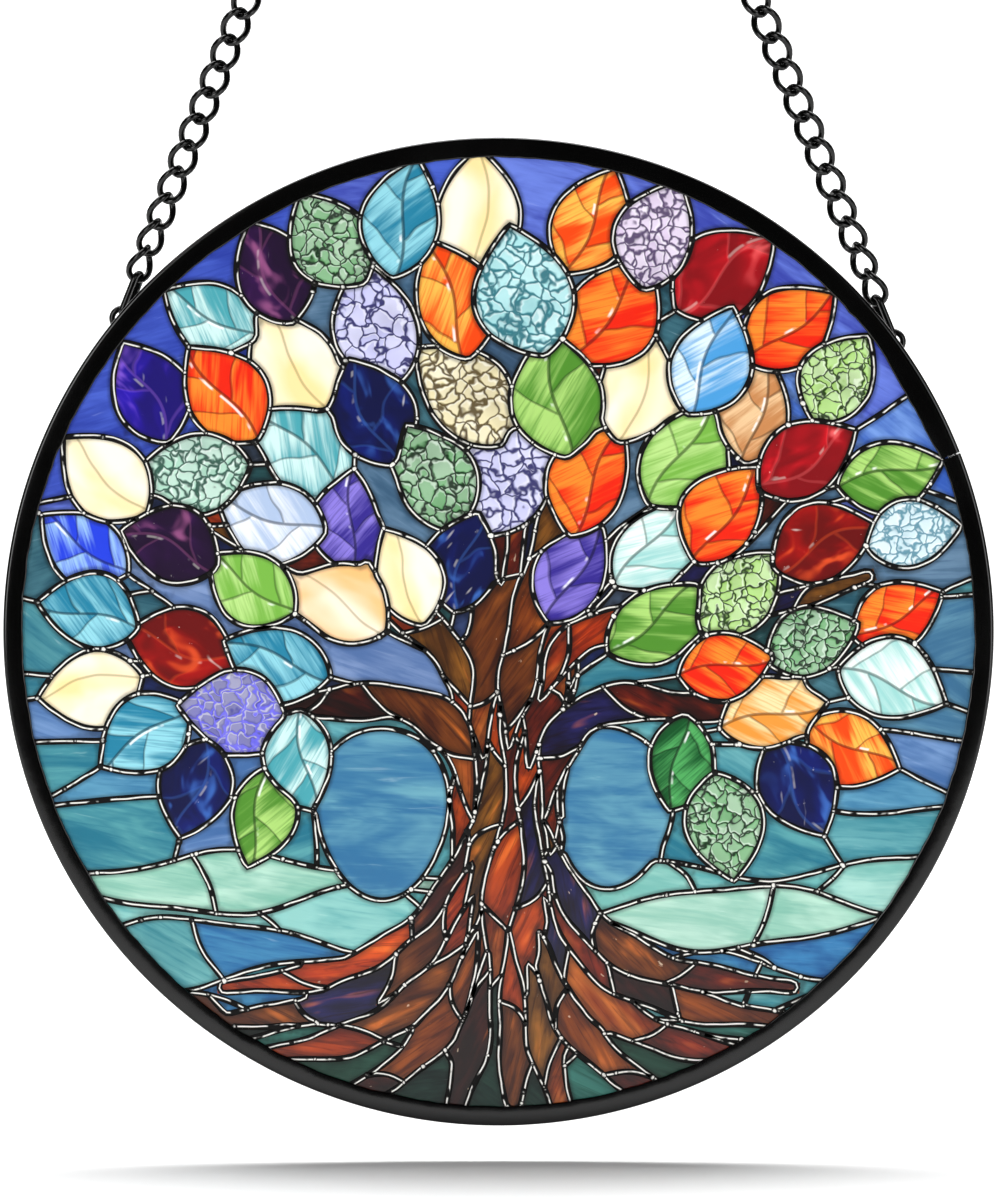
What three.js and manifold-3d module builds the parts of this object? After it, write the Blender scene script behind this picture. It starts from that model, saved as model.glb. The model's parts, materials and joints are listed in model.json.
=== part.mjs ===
import * as THREE from 'three';
import { mergeVertices } from 'three/addons/utils/BufferGeometryUtils.js';
import Module from 'manifold-3d';

// A round acrylic suncatcher in a thin metal rim, hung by a chain from two eyelets.
// Millimetres, +Z up, the picture faces -Y. The origin is the point that a hook touches,
// on the underside of the upper wire of the top link. The chain lies in the plane Y = 0
// and the disc hangs just in front of it.

const wasm = await Module();
wasm.setup();

// Clearance between pieces that touch each other
const gap = 0.3;

// Acrylic disc
const acrylicThickness = 3;

// Rim, a channel that holds the edge of the disc
const rimDiameter = 200;
const rimWall = 0.8;
const lipThickness = 0.7;
const grooveSeat = 2.7;
const rimEdgeChamfer = 0.35;
const rimJointAngle = 21.5;
const rimJointSlot = 0.3;

// Eyelets, rings of wire on a foot behind the rim
const eyeletWire = 1.1;
const eyeletHole = 2.8;
const eyeletFootLength = 1.7;
const eyeletFootWidth = 3;
const eyeletSetIn = 0.3;
const leftEyeletAngle = 39.9;
const rightEyeletAngle = 34.7;

// Chain of twisted links
const chainWire = 1.05;
const linkLength = 8.1;
const linkWidth = 6;
const linkTwist = 90;
const rolledLinks = 5;
const namedLinksPerSide = 25;
const fuseBite = 0.25;

// Connecting links, flat ones from each eyelet to the chain
const connectorLength = 10.3;
const connectorPlay = 0.1;

// Height of the hanging point over the middle of the disc
const hangHeight = 255;

// Facets
const roundSides = 64;
const wireSides = 5;
const linkSegments = 10;
const fusedSegments = 8;
const connectorSegments = 14;
const eyeletSegments = 14;

// Sizes that follow from the ones above
const rimRadius = rimDiameter / 2;
const acrylicRadius = rimRadius - rimWall - gap;
const lipInnerRadius = acrylicRadius - grooveSeat;
const grooveHalf = acrylicThickness / 2 + gap;
const rimDepth = 2 * (grooveHalf + lipThickness);

const linkHalf = (linkLength - chainWire) / 2;
const linkHalfWidth = (linkWidth - chainWire) / 2;
const fusedHalf = linkHalf - (gap + fuseBite) / 2;
const connectorHalf = (connectorLength - chainWire) / 2;
const connectorHalfWidth = (eyeletWire + chainWire) / 2 + gap + connectorPlay;

const wireSpacing = chainWire + gap;
const fusedSpacing = chainWire - fuseBite;
const eyeletSpacing = (chainWire + eyeletWire) / 2 + gap;

const eyeletRadius = (eyeletHole + eyeletWire) / 2;
const eyeletOuterRadius = eyeletHole / 2 + eyeletWire;
const eyeletPlaceRadius = lipInnerRadius + eyeletSetIn + eyeletOuterRadius;

const rimBackY = -(connectorHalfWidth + chainWire / 2 + gap);
const discY = rimBackY - rimDepth / 2;
const discZ = -hangHeight;
const topLinkZ = chainWire / 2 - linkHalfWidth;

const radians = THREE.MathUtils.degToRad;
const fullTurn = 2 * Math.PI;

const blackMetal = new THREE.MeshStandardMaterial({ color: 0x0b0b0d, roughness: 0.22, metalness: 0.6 });
const clearAcrylic = new THREE.MeshStandardMaterial({ color: 0x6fa3ad, roughness: 0.08, metalness: 0 });

// Turns a closed geometry into a solid, with shared corners merged
function solidOf(geometry) {
  const bare = geometry.clone();
  bare.deleteAttribute('normal');
  bare.deleteAttribute('uv');
  const merged = mergeVertices(bare, 1e-4);
  return new wasm.Manifold(new wasm.Mesh({
    numProp: 3,
    vertProperties: new Float32Array(merged.attributes.position.array),
    triVerts: new Uint32Array(merged.index.array),
  }));
}

// Turns a solid back into a geometry
function geometryOf(solid) {
  const mesh = solid.getMesh();
  const geometry = new THREE.BufferGeometry();
  geometry.setAttribute('position', new THREE.BufferAttribute(mesh.vertProperties, 3));
  geometry.setIndex(new THREE.BufferAttribute(mesh.triVerts, 1));
  geometry.computeVertexNormals();
  return geometry;
}

// The rim's channel, turned about Y and parted by the slot of its butt joint
function rimGeometry() {
  const half = rimDepth / 2;
  const channel = new THREE.LatheGeometry([
    new THREE.Vector2(lipInnerRadius, -half),
    new THREE.Vector2(rimRadius - rimEdgeChamfer, -half),
    new THREE.Vector2(rimRadius, rimEdgeChamfer - half),
    new THREE.Vector2(rimRadius, half - rimEdgeChamfer),
    new THREE.Vector2(rimRadius - rimEdgeChamfer, half),
    new THREE.Vector2(lipInnerRadius, half),
    new THREE.Vector2(lipInnerRadius, grooveHalf),
    new THREE.Vector2(rimRadius - rimWall, grooveHalf),
    new THREE.Vector2(rimRadius - rimWall, -grooveHalf),
    new THREE.Vector2(lipInnerRadius, -grooveHalf),
    new THREE.Vector2(lipInnerRadius, -half),
  ], roundSides);
  const slotReach = 3 * (rimRadius - lipInnerRadius);
  const slot = new THREE.BoxGeometry(slotReach, 2 * rimDepth, rimJointSlot);
  slot.translate(rimRadius, 0, 0);
  slot.rotateY(-radians(rimJointAngle));
  return geometryOf(solidOf(channel).subtract(solidOf(slot)));
}

// The flat disc that the rim's groove holds
function acrylicGeometry() {
  return new THREE.CylinderGeometry(acrylicRadius, acrylicRadius, acrylicThickness, roundSides);
}

// A ring of wire in the plane of the disc, on a foot that reaches forward to the rim.
// Its own +X points out from the middle of the disc.
function eyeletGeometry() {
  const ring = new THREE.TorusGeometry(eyeletRadius, eyeletWire / 2, 6, eyeletSegments);
  ring.rotateX(Math.PI / 2);
  const footDepth = -rimBackY - gap;
  const foot = new THREE.BoxGeometry(eyeletFootLength, footDepth, eyeletFootWidth);
  foot.translate(eyeletFootLength / 2 - eyeletOuterRadius, -footDepth / 2, 0);
  return geometryOf(solidOf(ring).add(solidOf(foot)));
}

// The middle line of a link: a flat closed outline, wide along X and long along Z,
// turned about Z in step with its length
class LinkCurve extends THREE.Curve {
  constructor(outline, halfLength, twist) {
    super();
    this.outline = outline;
    this.halfTurn = radians(twist) / 2;
    this.halfLength = halfLength;
  }

  getPoint(t, target = new THREE.Vector3()) {
    const flat = this.outline.getPointAt(t);
    const turn = this.halfTurn * flat.y / this.halfLength;
    return target.set(flat.x * Math.cos(turn), flat.x * Math.sin(turn), flat.y);
  }
}

// An oval link, twisted from end to end by the given angle
function ovalLinkGeometry(half, twist, segments) {
  const oval = new THREE.EllipseCurve(0, 0, linkHalfWidth, half, Math.PI / 2, Math.PI / 2 + fullTurn);
  const curve = new LinkCurve(oval, half, twist);
  return new THREE.TubeGeometry(curve, segments, chainWire / 2, wireSides, true);
}

// A flat link with straight sides and round ends
function connectorGeometry() {
  const endMiddle = connectorHalf - connectorHalfWidth;
  const outline = new THREE.Path();
  outline.absarc(0, endMiddle, connectorHalfWidth, 0, Math.PI);
  outline.absarc(0, -endMiddle, connectorHalfWidth, Math.PI, fullTurn);
  outline.closePath();
  const curve = new LinkCurve(outline, connectorHalf, 0);
  return new THREE.TubeGeometry(curve, connectorSegments, chainWire / 2, wireSides, true);
}

// Middle of an eyelet at an angle above the horizontal, on the side -1 (left) or 1 (right)
function eyeletPlace(side, angle) {
  const across = side * eyeletPlaceRadius * Math.cos(radians(angle));
  return new THREE.Vector2(across, discZ + eyeletPlaceRadius * Math.sin(radians(angle)));
}

// Where the straight run from an eyelet bears on the top link, in the plane of the chain
function runBetween(side, angle) {
  const bottom = eyeletPlace(side, angle);
  const top = new THREE.Vector2(0, topLinkZ);
  for (let pass = 0; pass < 12; pass += 1) {
    const pull = bottom.clone().sub(top).normalize();
    const reach = Math.hypot(linkHalf * pull.x, linkHalfWidth * pull.y);
    top.set(linkHalf ** 2 * pull.x / reach, topLinkZ + linkHalfWidth ** 2 * pull.y / reach);
  }
  return { bottom, top, length: top.distanceTo(bottom) };
}

// Stations of a run of links, as distances down from its top: each link's middle, the
// connecting link's middle and the eyelet's middle
function stationsOf(count) {
  const fused = Math.max(0, count - namedLinksPerSide);
  const stations = [];
  let end = -wireSpacing;
  for (let index = 0; index < count; index += 1) {
    const isFused = index < fused;
    const half = isFused ? fusedHalf : linkHalf;
    const middle = end + half;
    stations.push({ middle, half, isFused });
    const nextIsFused = index + 1 < fused;
    end = middle + half - (nextIsFused ? fusedSpacing : wireSpacing);
  }
  const connector = end + connectorHalf;
  const eyelet = connector + connectorHalf - eyeletSpacing + eyeletRadius;
  return { stations, connector, eyelet };
}

// Settles one side: the whole number of links nearest to the wanted eyelet angle, and
// the angle at which that many links hang straight
function settleSide(side, wantedAngle) {
  const wanted = runBetween(side, wantedAngle).length;
  const pitch = 2 * linkHalf - wireSpacing;
  const count = Math.max(1, 1 + Math.round((wanted - stationsOf(1).eyelet) / pitch));
  const run = stationsOf(count);
  let low = -80;
  let high = 85;
  for (let pass = 0; pass < 40; pass += 1) {
    const middle = (low + high) / 2;
    if (runBetween(side, middle).length > run.eyelet) {
      low = middle;
    } else {
      high = middle;
    }
  }
  const angle = (low + high) / 2;
  return { side, angle, ...run, ...runBetween(side, angle) };
}

// Roll of a link about the run: none in the middle of a run, and half the twist at its
// ends, where the wire has to cross the top link and the connecting link
function rollOf(index, count) {
  const fromEnd = Math.min(index, count - 1 - index);
  return (linkTwist / 2) * Math.max(0, 1 - fromEnd / rolledLinks);
}

function namedMesh(name, geometry, material) {
  const mesh = new THREE.Mesh(geometry, material);
  mesh.name = name;
  return mesh;
}

// One side's chain, in a group whose -Z runs down from the top link to the eyelet
function chainSide(settled, sideName) {
  const { side, stations, connector, top, bottom } = settled;
  const group = new THREE.Group();
  group.position.set(top.x, 0, top.y);
  group.rotation.y = Math.atan2(top.x - bottom.x, top.y - bottom.y);
  const twist = -side * linkTwist;
  const namedLink = ovalLinkGeometry(linkHalf, twist, linkSegments);
  const fusedLink = ovalLinkGeometry(fusedHalf, twist, fusedSegments);
  let fused = null;
  let number = 0;
  stations.forEach(({ middle, isFused }, index) => {
    const roll = -side * radians(rollOf(index, stations.length));
    if (isFused) {
      const placed = fusedLink.clone().rotateZ(roll).translate(0, 0, -middle);
      fused = fused ? fused.add(solidOf(placed)) : solidOf(placed);
      return;
    }
    number += 1;
    const name = `chain_link_${sideName}_${String(number).padStart(2, '0')}`;
    const link = namedMesh(name, namedLink, blackMetal);
    link.position.z = -middle;
    link.rotation.z = roll;
    group.add(link);
  });
  if (fused) {
    group.add(namedMesh(`upper_chain_${sideName}`, geometryOf(fused), blackMetal));
  }
  const flatLink = namedMesh(`connecting_link_${sideName}`, connectorGeometry(), blackMetal);
  flatLink.position.z = -connector;
  flatLink.rotation.z = Math.PI / 2;
  group.add(flatLink);
  return group;
}

// The eyelet of one side, its +X pointing out from the middle of the disc
function eyeletSide({ side, angle, bottom }, sideName) {
  const eyelet = namedMesh(`eyelet_${sideName}`, eyeletGeometry(), blackMetal);
  eyelet.position.set(bottom.x, 0, bottom.y);
  eyelet.rotation.y = side > 0 ? -radians(angle) : radians(angle) - Math.PI;
  return eyelet;
}

const suncatcher = new THREE.Group();

const disc = new THREE.Group();
disc.position.set(0, discY, discZ);
disc.add(namedMesh('rim', rimGeometry(), blackMetal));
disc.add(namedMesh('acrylic_disc', acrylicGeometry(), clearAcrylic));
suncatcher.add(disc);

const topLink = namedMesh('top_link', ovalLinkGeometry(linkHalf, 0, linkSegments), blackMetal);
topLink.position.z = topLinkZ;
topLink.rotation.y = Math.PI / 2;
suncatcher.add(topLink);

const sides = [
  { side: -1, wantedAngle: leftEyeletAngle, sideName: 'left' },
  { side: 1, wantedAngle: rightEyeletAngle, sideName: 'right' },
];
for (const { side, wantedAngle, sideName } of sides) {
  const settled = settleSide(side, wantedAngle);
  suncatcher.add(eyeletSide(settled, sideName));
  suncatcher.add(chainSide(settled, sideName));
}

export default suncatcher;
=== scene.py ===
"""Looks of a round acrylic suncatcher.

A tree in the manner of leaded glass is printed on a clear disc. The disc sits in a gloss black metal rim and
hangs by a fine black chain. The picture is laid out by rules: leaves packed over a crown, wood along branch
lines, bands of sky and water, and a lead line along every border between two cells.
"""

import json
import logging
import math
from dataclasses import dataclass, field
from enum import Enum
from typing import Any, Callable, Sequence, Union

import bpy
import numpy as np
from bpy.types import Material, NodeSocket, NodeTree, Object
from mathutils import Matrix, Vector, kdtree
from mathutils.geometry import delaunay_2d_cdt

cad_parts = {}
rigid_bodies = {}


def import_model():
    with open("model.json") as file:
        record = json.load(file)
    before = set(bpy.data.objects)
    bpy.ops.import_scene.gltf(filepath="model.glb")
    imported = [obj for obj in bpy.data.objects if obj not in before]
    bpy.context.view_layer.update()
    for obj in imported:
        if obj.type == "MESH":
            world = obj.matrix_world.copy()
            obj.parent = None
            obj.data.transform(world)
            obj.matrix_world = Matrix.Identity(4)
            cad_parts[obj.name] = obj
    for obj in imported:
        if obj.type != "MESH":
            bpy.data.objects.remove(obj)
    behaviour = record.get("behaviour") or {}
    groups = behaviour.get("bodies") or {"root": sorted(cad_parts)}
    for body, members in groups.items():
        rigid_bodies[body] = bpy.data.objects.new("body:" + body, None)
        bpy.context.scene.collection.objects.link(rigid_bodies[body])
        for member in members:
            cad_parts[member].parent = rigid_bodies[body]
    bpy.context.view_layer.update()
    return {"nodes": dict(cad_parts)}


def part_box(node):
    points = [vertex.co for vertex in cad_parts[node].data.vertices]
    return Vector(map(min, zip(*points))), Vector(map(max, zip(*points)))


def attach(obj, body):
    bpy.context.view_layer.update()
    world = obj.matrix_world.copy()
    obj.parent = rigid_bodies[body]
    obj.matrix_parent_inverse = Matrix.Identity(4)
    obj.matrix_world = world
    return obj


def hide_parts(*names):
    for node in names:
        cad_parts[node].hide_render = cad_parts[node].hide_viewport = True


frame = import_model()

Colour = tuple[float, float, float, float]
Pair = tuple[float, float]
Array = np.ndarray
Key = Union[str, int]
MM = 0.001
BODY = "root"
LOG = logging.getLogger("suncatcher")


def tone(code: str) -> Colour:
    """Gives the linear colour of a six-digit sRGB code."""
    parts = [int(code[start:start + 2], 16) / 255 for start in (0, 2, 4)]
    linear = [part / 12.92 if part <= 0.04045 else ((part + 0.055) / 1.055) ** 2.4 for part in parts]
    return (linear[0], linear[1], linear[2], 1.0)


def arithmetic(operation: str, swapped: bool = False) -> Callable[..., "Sock"]:
    """Makes a method that works something out with a Math node.

    Args:
        operation: The node's operation.
        swapped: Whether the method's own socket is the second value.

    Returns:
        The method.
    """

    def method(self: "Sock", other: "Value" = 0.0) -> "Sock":
        """Gives the result for this socket and another value."""
        values = (other, self) if swapped else (self, other)
        return self.board.node("ShaderNodeMath", {"operation": operation}, dict(enumerate(values)))

    return method


class Sock:
    """One output socket. Python operators on it add the Math nodes that work out the result."""

    __add__ = arithmetic("ADD")
    __radd__ = arithmetic("ADD", True)
    __sub__ = arithmetic("SUBTRACT")
    __rsub__ = arithmetic("SUBTRACT", True)
    __mul__ = arithmetic("MULTIPLY")
    __rmul__ = arithmetic("MULTIPLY", True)
    __abs__ = arithmetic("ABSOLUTE")
    fraction = arithmetic("FRACT")
    sine = arithmetic("SINE")
    least = arithmetic("MINIMUM")
    most = arithmetic("MAXIMUM")

    def __init__(self, board: "Board", socket: NodeSocket) -> None:
        """Keeps the socket and the board that it is on."""
        self.board = board
        self.socket = socket

    def out(self, name: Key) -> "Sock":
        """Gives another output of the same node."""
        return Sock(self.board, self.socket.node.outputs[name])

    def over(self, low: "Value", high: "Value") -> "Sock":
        """Rises smoothly from 0 at low to 1 at high."""
        return self.board.node(
            "ShaderNodeMapRange",
            {"interpolation_type": "SMOOTHSTEP"},
            {"Value": self, "From Min": low, "From Max": high},
        )


Value = Union[Sock, float, int, bool, str, Sequence[float], Material, None]
Inputs = dict[Key, Value]


class Board:
    """A node tree that is being wired up."""

    def __init__(self, tree: NodeTree) -> None:
        """Keeps the tree."""
        self.tree = tree

    def node(
        self, kind: str, settings: dict[str, Any] | None = None, inputs: Inputs | None = None, out: Key = 0
    ) -> Sock:
        """Adds a node.

        Args:
            kind: The node's type.
            settings: Its settings, set first.
            inputs: Values or links of its input sockets, by name or number.
            out: The output to give back.

        Returns:
            The chosen output.
        """
        node = self.tree.nodes.new(kind)
        for name, value in (settings or {}).items():
            setattr(node, name, value)
        for key, value in (inputs or {}).items():
            self.feed(node.inputs[key], value)
        if not node.outputs:
            return Sock(self, node.inputs[0])
        return Sock(self, node.outputs[out])

    def feed(self, socket: NodeSocket, value: Value) -> None:
        """Links a socket to another or sets its value."""
        if isinstance(value, Sock):
            self.tree.links.new(value.socket, socket)
        else:
            socket.default_value = value

    def mix(self, factor: Value, first: Value, second: Value) -> Sock:
        """Mixes two colours or colour codes. The factor is the share of the second one."""
        settings = {"data_type": "RGBA", "clamp_factor": True}
        first, second = (tone(colour) if isinstance(colour, str) else colour for colour in (first, second))
        return self.node("ShaderNodeMix", settings, {0: factor, 6: first, 7: second}, 2)

    def combine(self, x: Value, y: Value, z: Value = 0.0) -> Sock:
        """Makes a vector of three values."""
        return self.node("ShaderNodeCombineXYZ", None, {0: x, 1: y, 2: z})

    def split(self, vector: Value, axis: str = "X") -> Sock:
        """Gives one number of a vector."""
        return self.node("ShaderNodeSeparateXYZ", None, {0: vector}, axis)

    def vector(self, operation: str, inputs: Inputs, out: Key = 0) -> Sock:
        """Adds a Vector Math node."""
        return self.node("ShaderNodeVectorMath", {"operation": operation}, inputs, out)

    def attribute(self, name: str, out: str = "Fac") -> Sock:
        """Reads an attribute of the mesh."""
        return self.node("ShaderNodeAttribute", {"attribute_name": name}, out=out)

    def place(self) -> Sock:
        """Gives the place in the object's own coordinates."""
        return self.node("ShaderNodeTexCoord", None, None, "Object")

    def bump(self, height: Value, strength: float, distance: float = 0.0001) -> Sock:
        """Turns a height into a bent normal."""
        inputs = {"Strength": strength, "Distance": distance, "Height": height}
        return self.node("ShaderNodeBump", None, inputs)

    def noise(
        self, vector: Value, scale: float, detail: float = 2.0, roughness: float = 0.5, warp: float = 0.0
    ) -> Sock:
        """Adds a noise texture, which gives values around 0.5."""
        inputs = {"Vector": vector, "Scale": scale, "Detail": detail}
        inputs.update({"Roughness": roughness, "Distortion": warp})
        return self.node("ShaderNodeTexNoise", None, inputs)

    def voronoi(self, vector: Value, scale: float, feature: str, out: str = "Distance") -> Sock:
        """Adds a cell texture and gives the wanted output."""
        inputs = {"Vector": vector, "Scale": scale}
        return self.node("ShaderNodeTexVoronoi", {"feature": feature}, inputs, out)


class GrowBoard(Board):
    """A Geometry Nodes tree with named inputs."""

    KINDS = {
        float: "NodeSocketFloat",
        int: "NodeSocketInt",
        str: "NodeSocketMaterial",
        Object: "NodeSocketObject",
    }

    def __init__(self, name: str, sizes: dict[str, type]) -> None:
        """Makes the tree.

        Args:
            name: Its name.
            sizes: Kind of each named input. The kind str stands for a material.
        """
        super().__init__(bpy.data.node_groups.new(name, "GeometryNodeTree"))
        face = self.tree.interface
        face.new_socket("Geometry", in_out="INPUT", socket_type="NodeSocketGeometry")
        for size, kind in sizes.items():
            face.new_socket(size, in_out="INPUT", socket_type=self.KINDS[kind])
        face.new_socket("Geometry", in_out="OUTPUT", socket_type="NodeSocketGeometry")
        self.given = self.node("NodeGroupInput")

    def take(self, name: str) -> Sock:
        """Gives a named input."""
        return self.given.out(name)

    def add(self, kind: str, mode: str = "", **inputs: Value) -> Sock:
        """Adds a Geometry node with its mode and its inputs by name."""
        return self.node(f"GeometryNode{kind}", {"mode": mode} if mode else None, inputs)

    def line(self) -> Sock:
        """Turns the edges of what the tree starts from into curves."""
        return self.add("MeshToCurve", Mesh=self.take("Geometry"))

    def spot(self) -> Sock:
        """Gives the place of each point, split into its numbers."""
        return self.split(self.add("InputPosition"))

    def sweep(self, line: Sock, section: Sock) -> Sock:
        """Sweeps a section along a line."""
        inputs = {"Curve": line, "Profile Curve": section, "Fill Caps": True}
        return self.add("CurveToMesh", **inputs)

    def scatter(self, shape: Sock, **inputs: Value) -> Sock:
        """Sets a shape on each point of what the tree starts from."""
        return self.add("InstanceOnPoints", Points=self.take("Geometry"), Instance=shape, **inputs)

    def mark(self, geometry: Sock, name: str, value: Sock) -> Sock:
        """Stores a number on each point of a shape."""
        settings = {"data_type": "FLOAT", "domain": "POINT"}
        inputs = {"Geometry": geometry, "Name": name, "Value": value}
        return self.node("GeometryNodeStoreNamedAttribute", settings, inputs)

    def vary(self, low: float, high: float) -> Sock:
        """Gives a random number for each point."""
        inputs = {2: low, 3: high, "Seed": self.take("Seed")}
        return self.node("FunctionNodeRandomValue", {"data_type": "FLOAT"}, inputs, 1)

    def close(self, geometry: Sock) -> NodeTree:
        """Realizes the result, sets its material and gives the finished tree."""
        plain = self.add("RealizeInstances", Geometry=geometry)
        dressed = self.add("SetMaterial", Geometry=plain, Material=self.take("Material"))
        self.node("NodeGroupOutput", None, {0: dressed})
        return self.tree


def placed(name: str, data: Any) -> Object:
    """Makes an object of some data and puts it in the scene."""
    obj = bpy.data.objects.new(name, data)
    bpy.context.scene.collection.objects.link(obj)
    return obj


def mesh_object(
    name: str, points: Array, faces: Sequence[Sequence[int]] = (), edges: Sequence = ()
) -> Object:
    """Makes a mesh object in the scene.

    Args:
        name: The object's name.
        points: Its vertices, three numbers each.
        faces: Its faces.
        edges: Its loose edges.

    Returns:
        The object.
    """
    mesh = bpy.data.meshes.new(name)
    mesh.from_pydata([tuple(map(float, point)) for point in points], list(edges), list(faces))
    mesh.update()
    return placed(name, mesh)


def grow(seed: Object, name: str, tree: NodeTree, values: dict[str, Any]) -> Object:
    """Runs a Geometry Nodes tree on an object and keeps the result as a plain mesh.

    Args:
        seed: The object that the tree starts from. It is removed.
        name: Name of the result.
        tree: The tree.
        values: The tree's named inputs.

    Returns:
        The finished piece.
    """
    modifier = seed.modifiers.new("grow", "NODES")
    modifier.node_group = tree
    for item in tree.interface.items_tree:
        if item.in_out == "INPUT" and item.name in values:
            modifier[item.identifier] = values[item.name]
    seed.update_tag()
    graph = bpy.context.evaluated_depsgraph_get()
    grown = seed.evaluated_get(graph)
    mesh = bpy.data.meshes.new_from_object(grown, preserve_all_data_layers=True, depsgraph=graph)
    bpy.data.objects.remove(seed)
    mesh.name = name
    return placed(name, mesh)


def settle(piece: Object, nodes: Sequence[str] = (), smooth: bool = True) -> None:
    """Fixes a finished piece to the object.

    Args:
        piece: The finished piece.
        nodes: CAD nodes that it stands for.
        smooth: Whether its faces are shaded smooth.
    """
    piece.data.polygons.foreach_set("use_smooth", [smooth] * len(piece.data.polygons))
    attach(piece, BODY)
    if nodes:
        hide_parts(*nodes)
    LOG.info("%s: %d faces", piece.name, len(piece.data.polygons))


def wire(
    name: str, path: Array, radius: float, sides: int, finish: Material, closed: bool = True
) -> Object:
    """Sweeps a round wire along a path.

    Args:
        name: The object's name.
        path: Points of the middle line.
        radius: The wire's radius.
        sides: Sides of its section.
        finish: Its finish.
        closed: Whether the path is a loop.

    Returns:
        The wire.
    """
    board = GrowBoard("wire_sweep", {"Radius": float, "Sides": int, "Material": str})
    size = {"Resolution": board.take("Sides"), "Radius": board.take("Radius")}
    ring = board.add("CurvePrimitiveCircle", "RADIUS", **size)
    swept = board.sweep(board.line(), ring)
    count = len(path)
    edges = [(step, (step + 1) % count) for step in range(count if closed else count - 1)]
    seed = mesh_object(f"{name}_path", path, [], edges)
    return grow(seed, name, board.close(swept), {"Radius": radius, "Sides": sides, "Material": finish})


class Glass(Enum):
    """Kinds of glass that the print imitates."""

    STREAKED = "streaked"
    CRACKLED = "crackled"
    OPAL = "opal"
    DEEP = "deep"
    SKY = "sky"
    BARK = "bark"


@dataclass(frozen=True)
class Tint:
    """A glass and its two colours.

    Attributes:
        glass: Kind of glass.
        body: Colour of most of the cell.
        vein: Second colour, of streaks or crackle lines.
    """

    glass: Glass
    body: str
    vein: str


LEAF_CODES = {
    Glass.STREAKED: {
        "flame": ("f5560c", "ffc45e"), "ember": ("ee2f0a", "ff9a3a"),
        "amber": ("f5a54a", "ffe6b4"), "sky streak": ("5aa9e0", "e4f4fb"),
        "royal": ("2f4fe0", "a8ccf5"), "teal streak": ("2e8dab", "9fdbe6"),
        "aqua streak": ("58aeb8", "d6f2ef"), "pale aqua": ("a9dcd8", "effaf6"),
        "green": ("5f9a3a", "b7dd84"), "light green": ("86bf55", "c3e596"),
        "deep green": ("146030", "5fb36c"), "violet": ("43359a", "9a8be0"),
        "pale blue": ("b9cbe6", "f0f4fb"), "tan": ("cf9460", "f0cfa4"),
    },
    Glass.OPAL: {
        "cream": ("fffaea", "fde8ae"), "peach": ("fbcb8c", "fff3de"),
        "white": ("fdfdfb", "f1efe8"),
    },
    Glass.DEEP: {
        "crimson": ("e0182c", "f47a7a"), "dark red": ("b8140e", "ee6a34"),
        "plum": ("42145a", "b06a9a"), "indigo": ("3a1fc0", "a878e0"),
        "navy": ("10247c", "4f82d0"),
    },
    Glass.CRACKLED: {
        "green crackle": ("54a85a", "06220e"), "lime crackle": ("a4d65a", "10300a"),
        "mint crackle": ("9cd0b8", "28584a"), "aqua crackle": ("9edfe2", "2a7884"),
        "ice crackle": ("cbe6ee", "6499ab"), "lilac crackle": ("dcc8e6", "54406a"),
        "purple crackle": ("c4c4f0", "1c1866"), "cobalt crackle": ("150c90", "7c78ea"),
        "beige crackle": ("e8dca8", "5c4a22"), "white crackle": ("f1efe9", "5f5a52"),
    },
    Glass.SKY: {
        "window": ("3f7ea8", "7cb4c4"),
    },
}

LEAF_TINTS = {
    name: Tint(glass, *pair) for glass, codes in LEAF_CODES.items() for name, pair in codes.items()
}

LEAF_ZONES = {
    (-8, 78): ("flame", "cream", "teal streak", "green crackle", "aqua streak"),
    (16, 78): ("ember", "aqua crackle", "flame", "pale blue", "white"),
    (40, 66): ("sky streak", "crimson", "lilac crackle", "ember", "pale blue"),
    (60, 46): ("crimson", "tan", "lime crackle", "ember", "white"),
    (74, 22): ("dark red", "ember", "ice crackle", "green", "cream"),
    (46, 14): ("green", "violet", "pale aqua", "lime crackle", "ember"),
    (62, -6): ("ember", "amber", "green crackle", "pale aqua", "flame"),
    (48, -28): ("deep green", "amber", "green crackle", "navy", "peach"),
    (18, 40): ("ember", "purple crackle", "light green", "cream", "green"),
    (12, 14): ("violet", "light green", "ice crackle", "green crackle", "ember"),
    (-14, 20): ("navy", "cream", "green crackle", "violet", "teal streak"),
    (-20, 50): ("beige crackle", "navy", "purple crackle", "cream", "flame"),
    (-44, 68): ("cream", "green crackle", "plum", "aqua streak", "flame"),
    (-64, 44): ("ember", "mint crackle", "indigo", "peach", "pale blue"),
    (-80, 24): ("plum", "cream", "royal", "mint crackle", "indigo"),
    (-48, 26): ("aqua streak", "pale blue", "mint crackle", "white crackle", "navy"),
    (-42, 2): ("peach", "light green", "teal streak", "cream", "green crackle"),
    (-72, 0): ("dark red", "royal", "teal streak", "cream", "light green"),
    (-62, -22): ("cobalt crackle", "navy", "teal streak", "aqua streak", "light green"),
    (-38, -30): ("aqua streak", "green", "pale aqua", "navy", "light green"),
}

BARK_TINTS = tuple(Tint(Glass.BARK, *pair) for pair in (
    ("3a0a04", "7c240c"), ("6e220c", "b4481a"), ("54260e", "8e5220"), ("b03a10", "ea6a1e"),
    ("5e3a12", "a06c2a"), ("200504", "541408"), ("8a3a14", "c87636"), ("4a1208", "96341a"),
    ("7a2a0e", "cc5a20"), ("6a3010", "a85c1e"), ("140c2c", "2c2a6a"),
))

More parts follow.
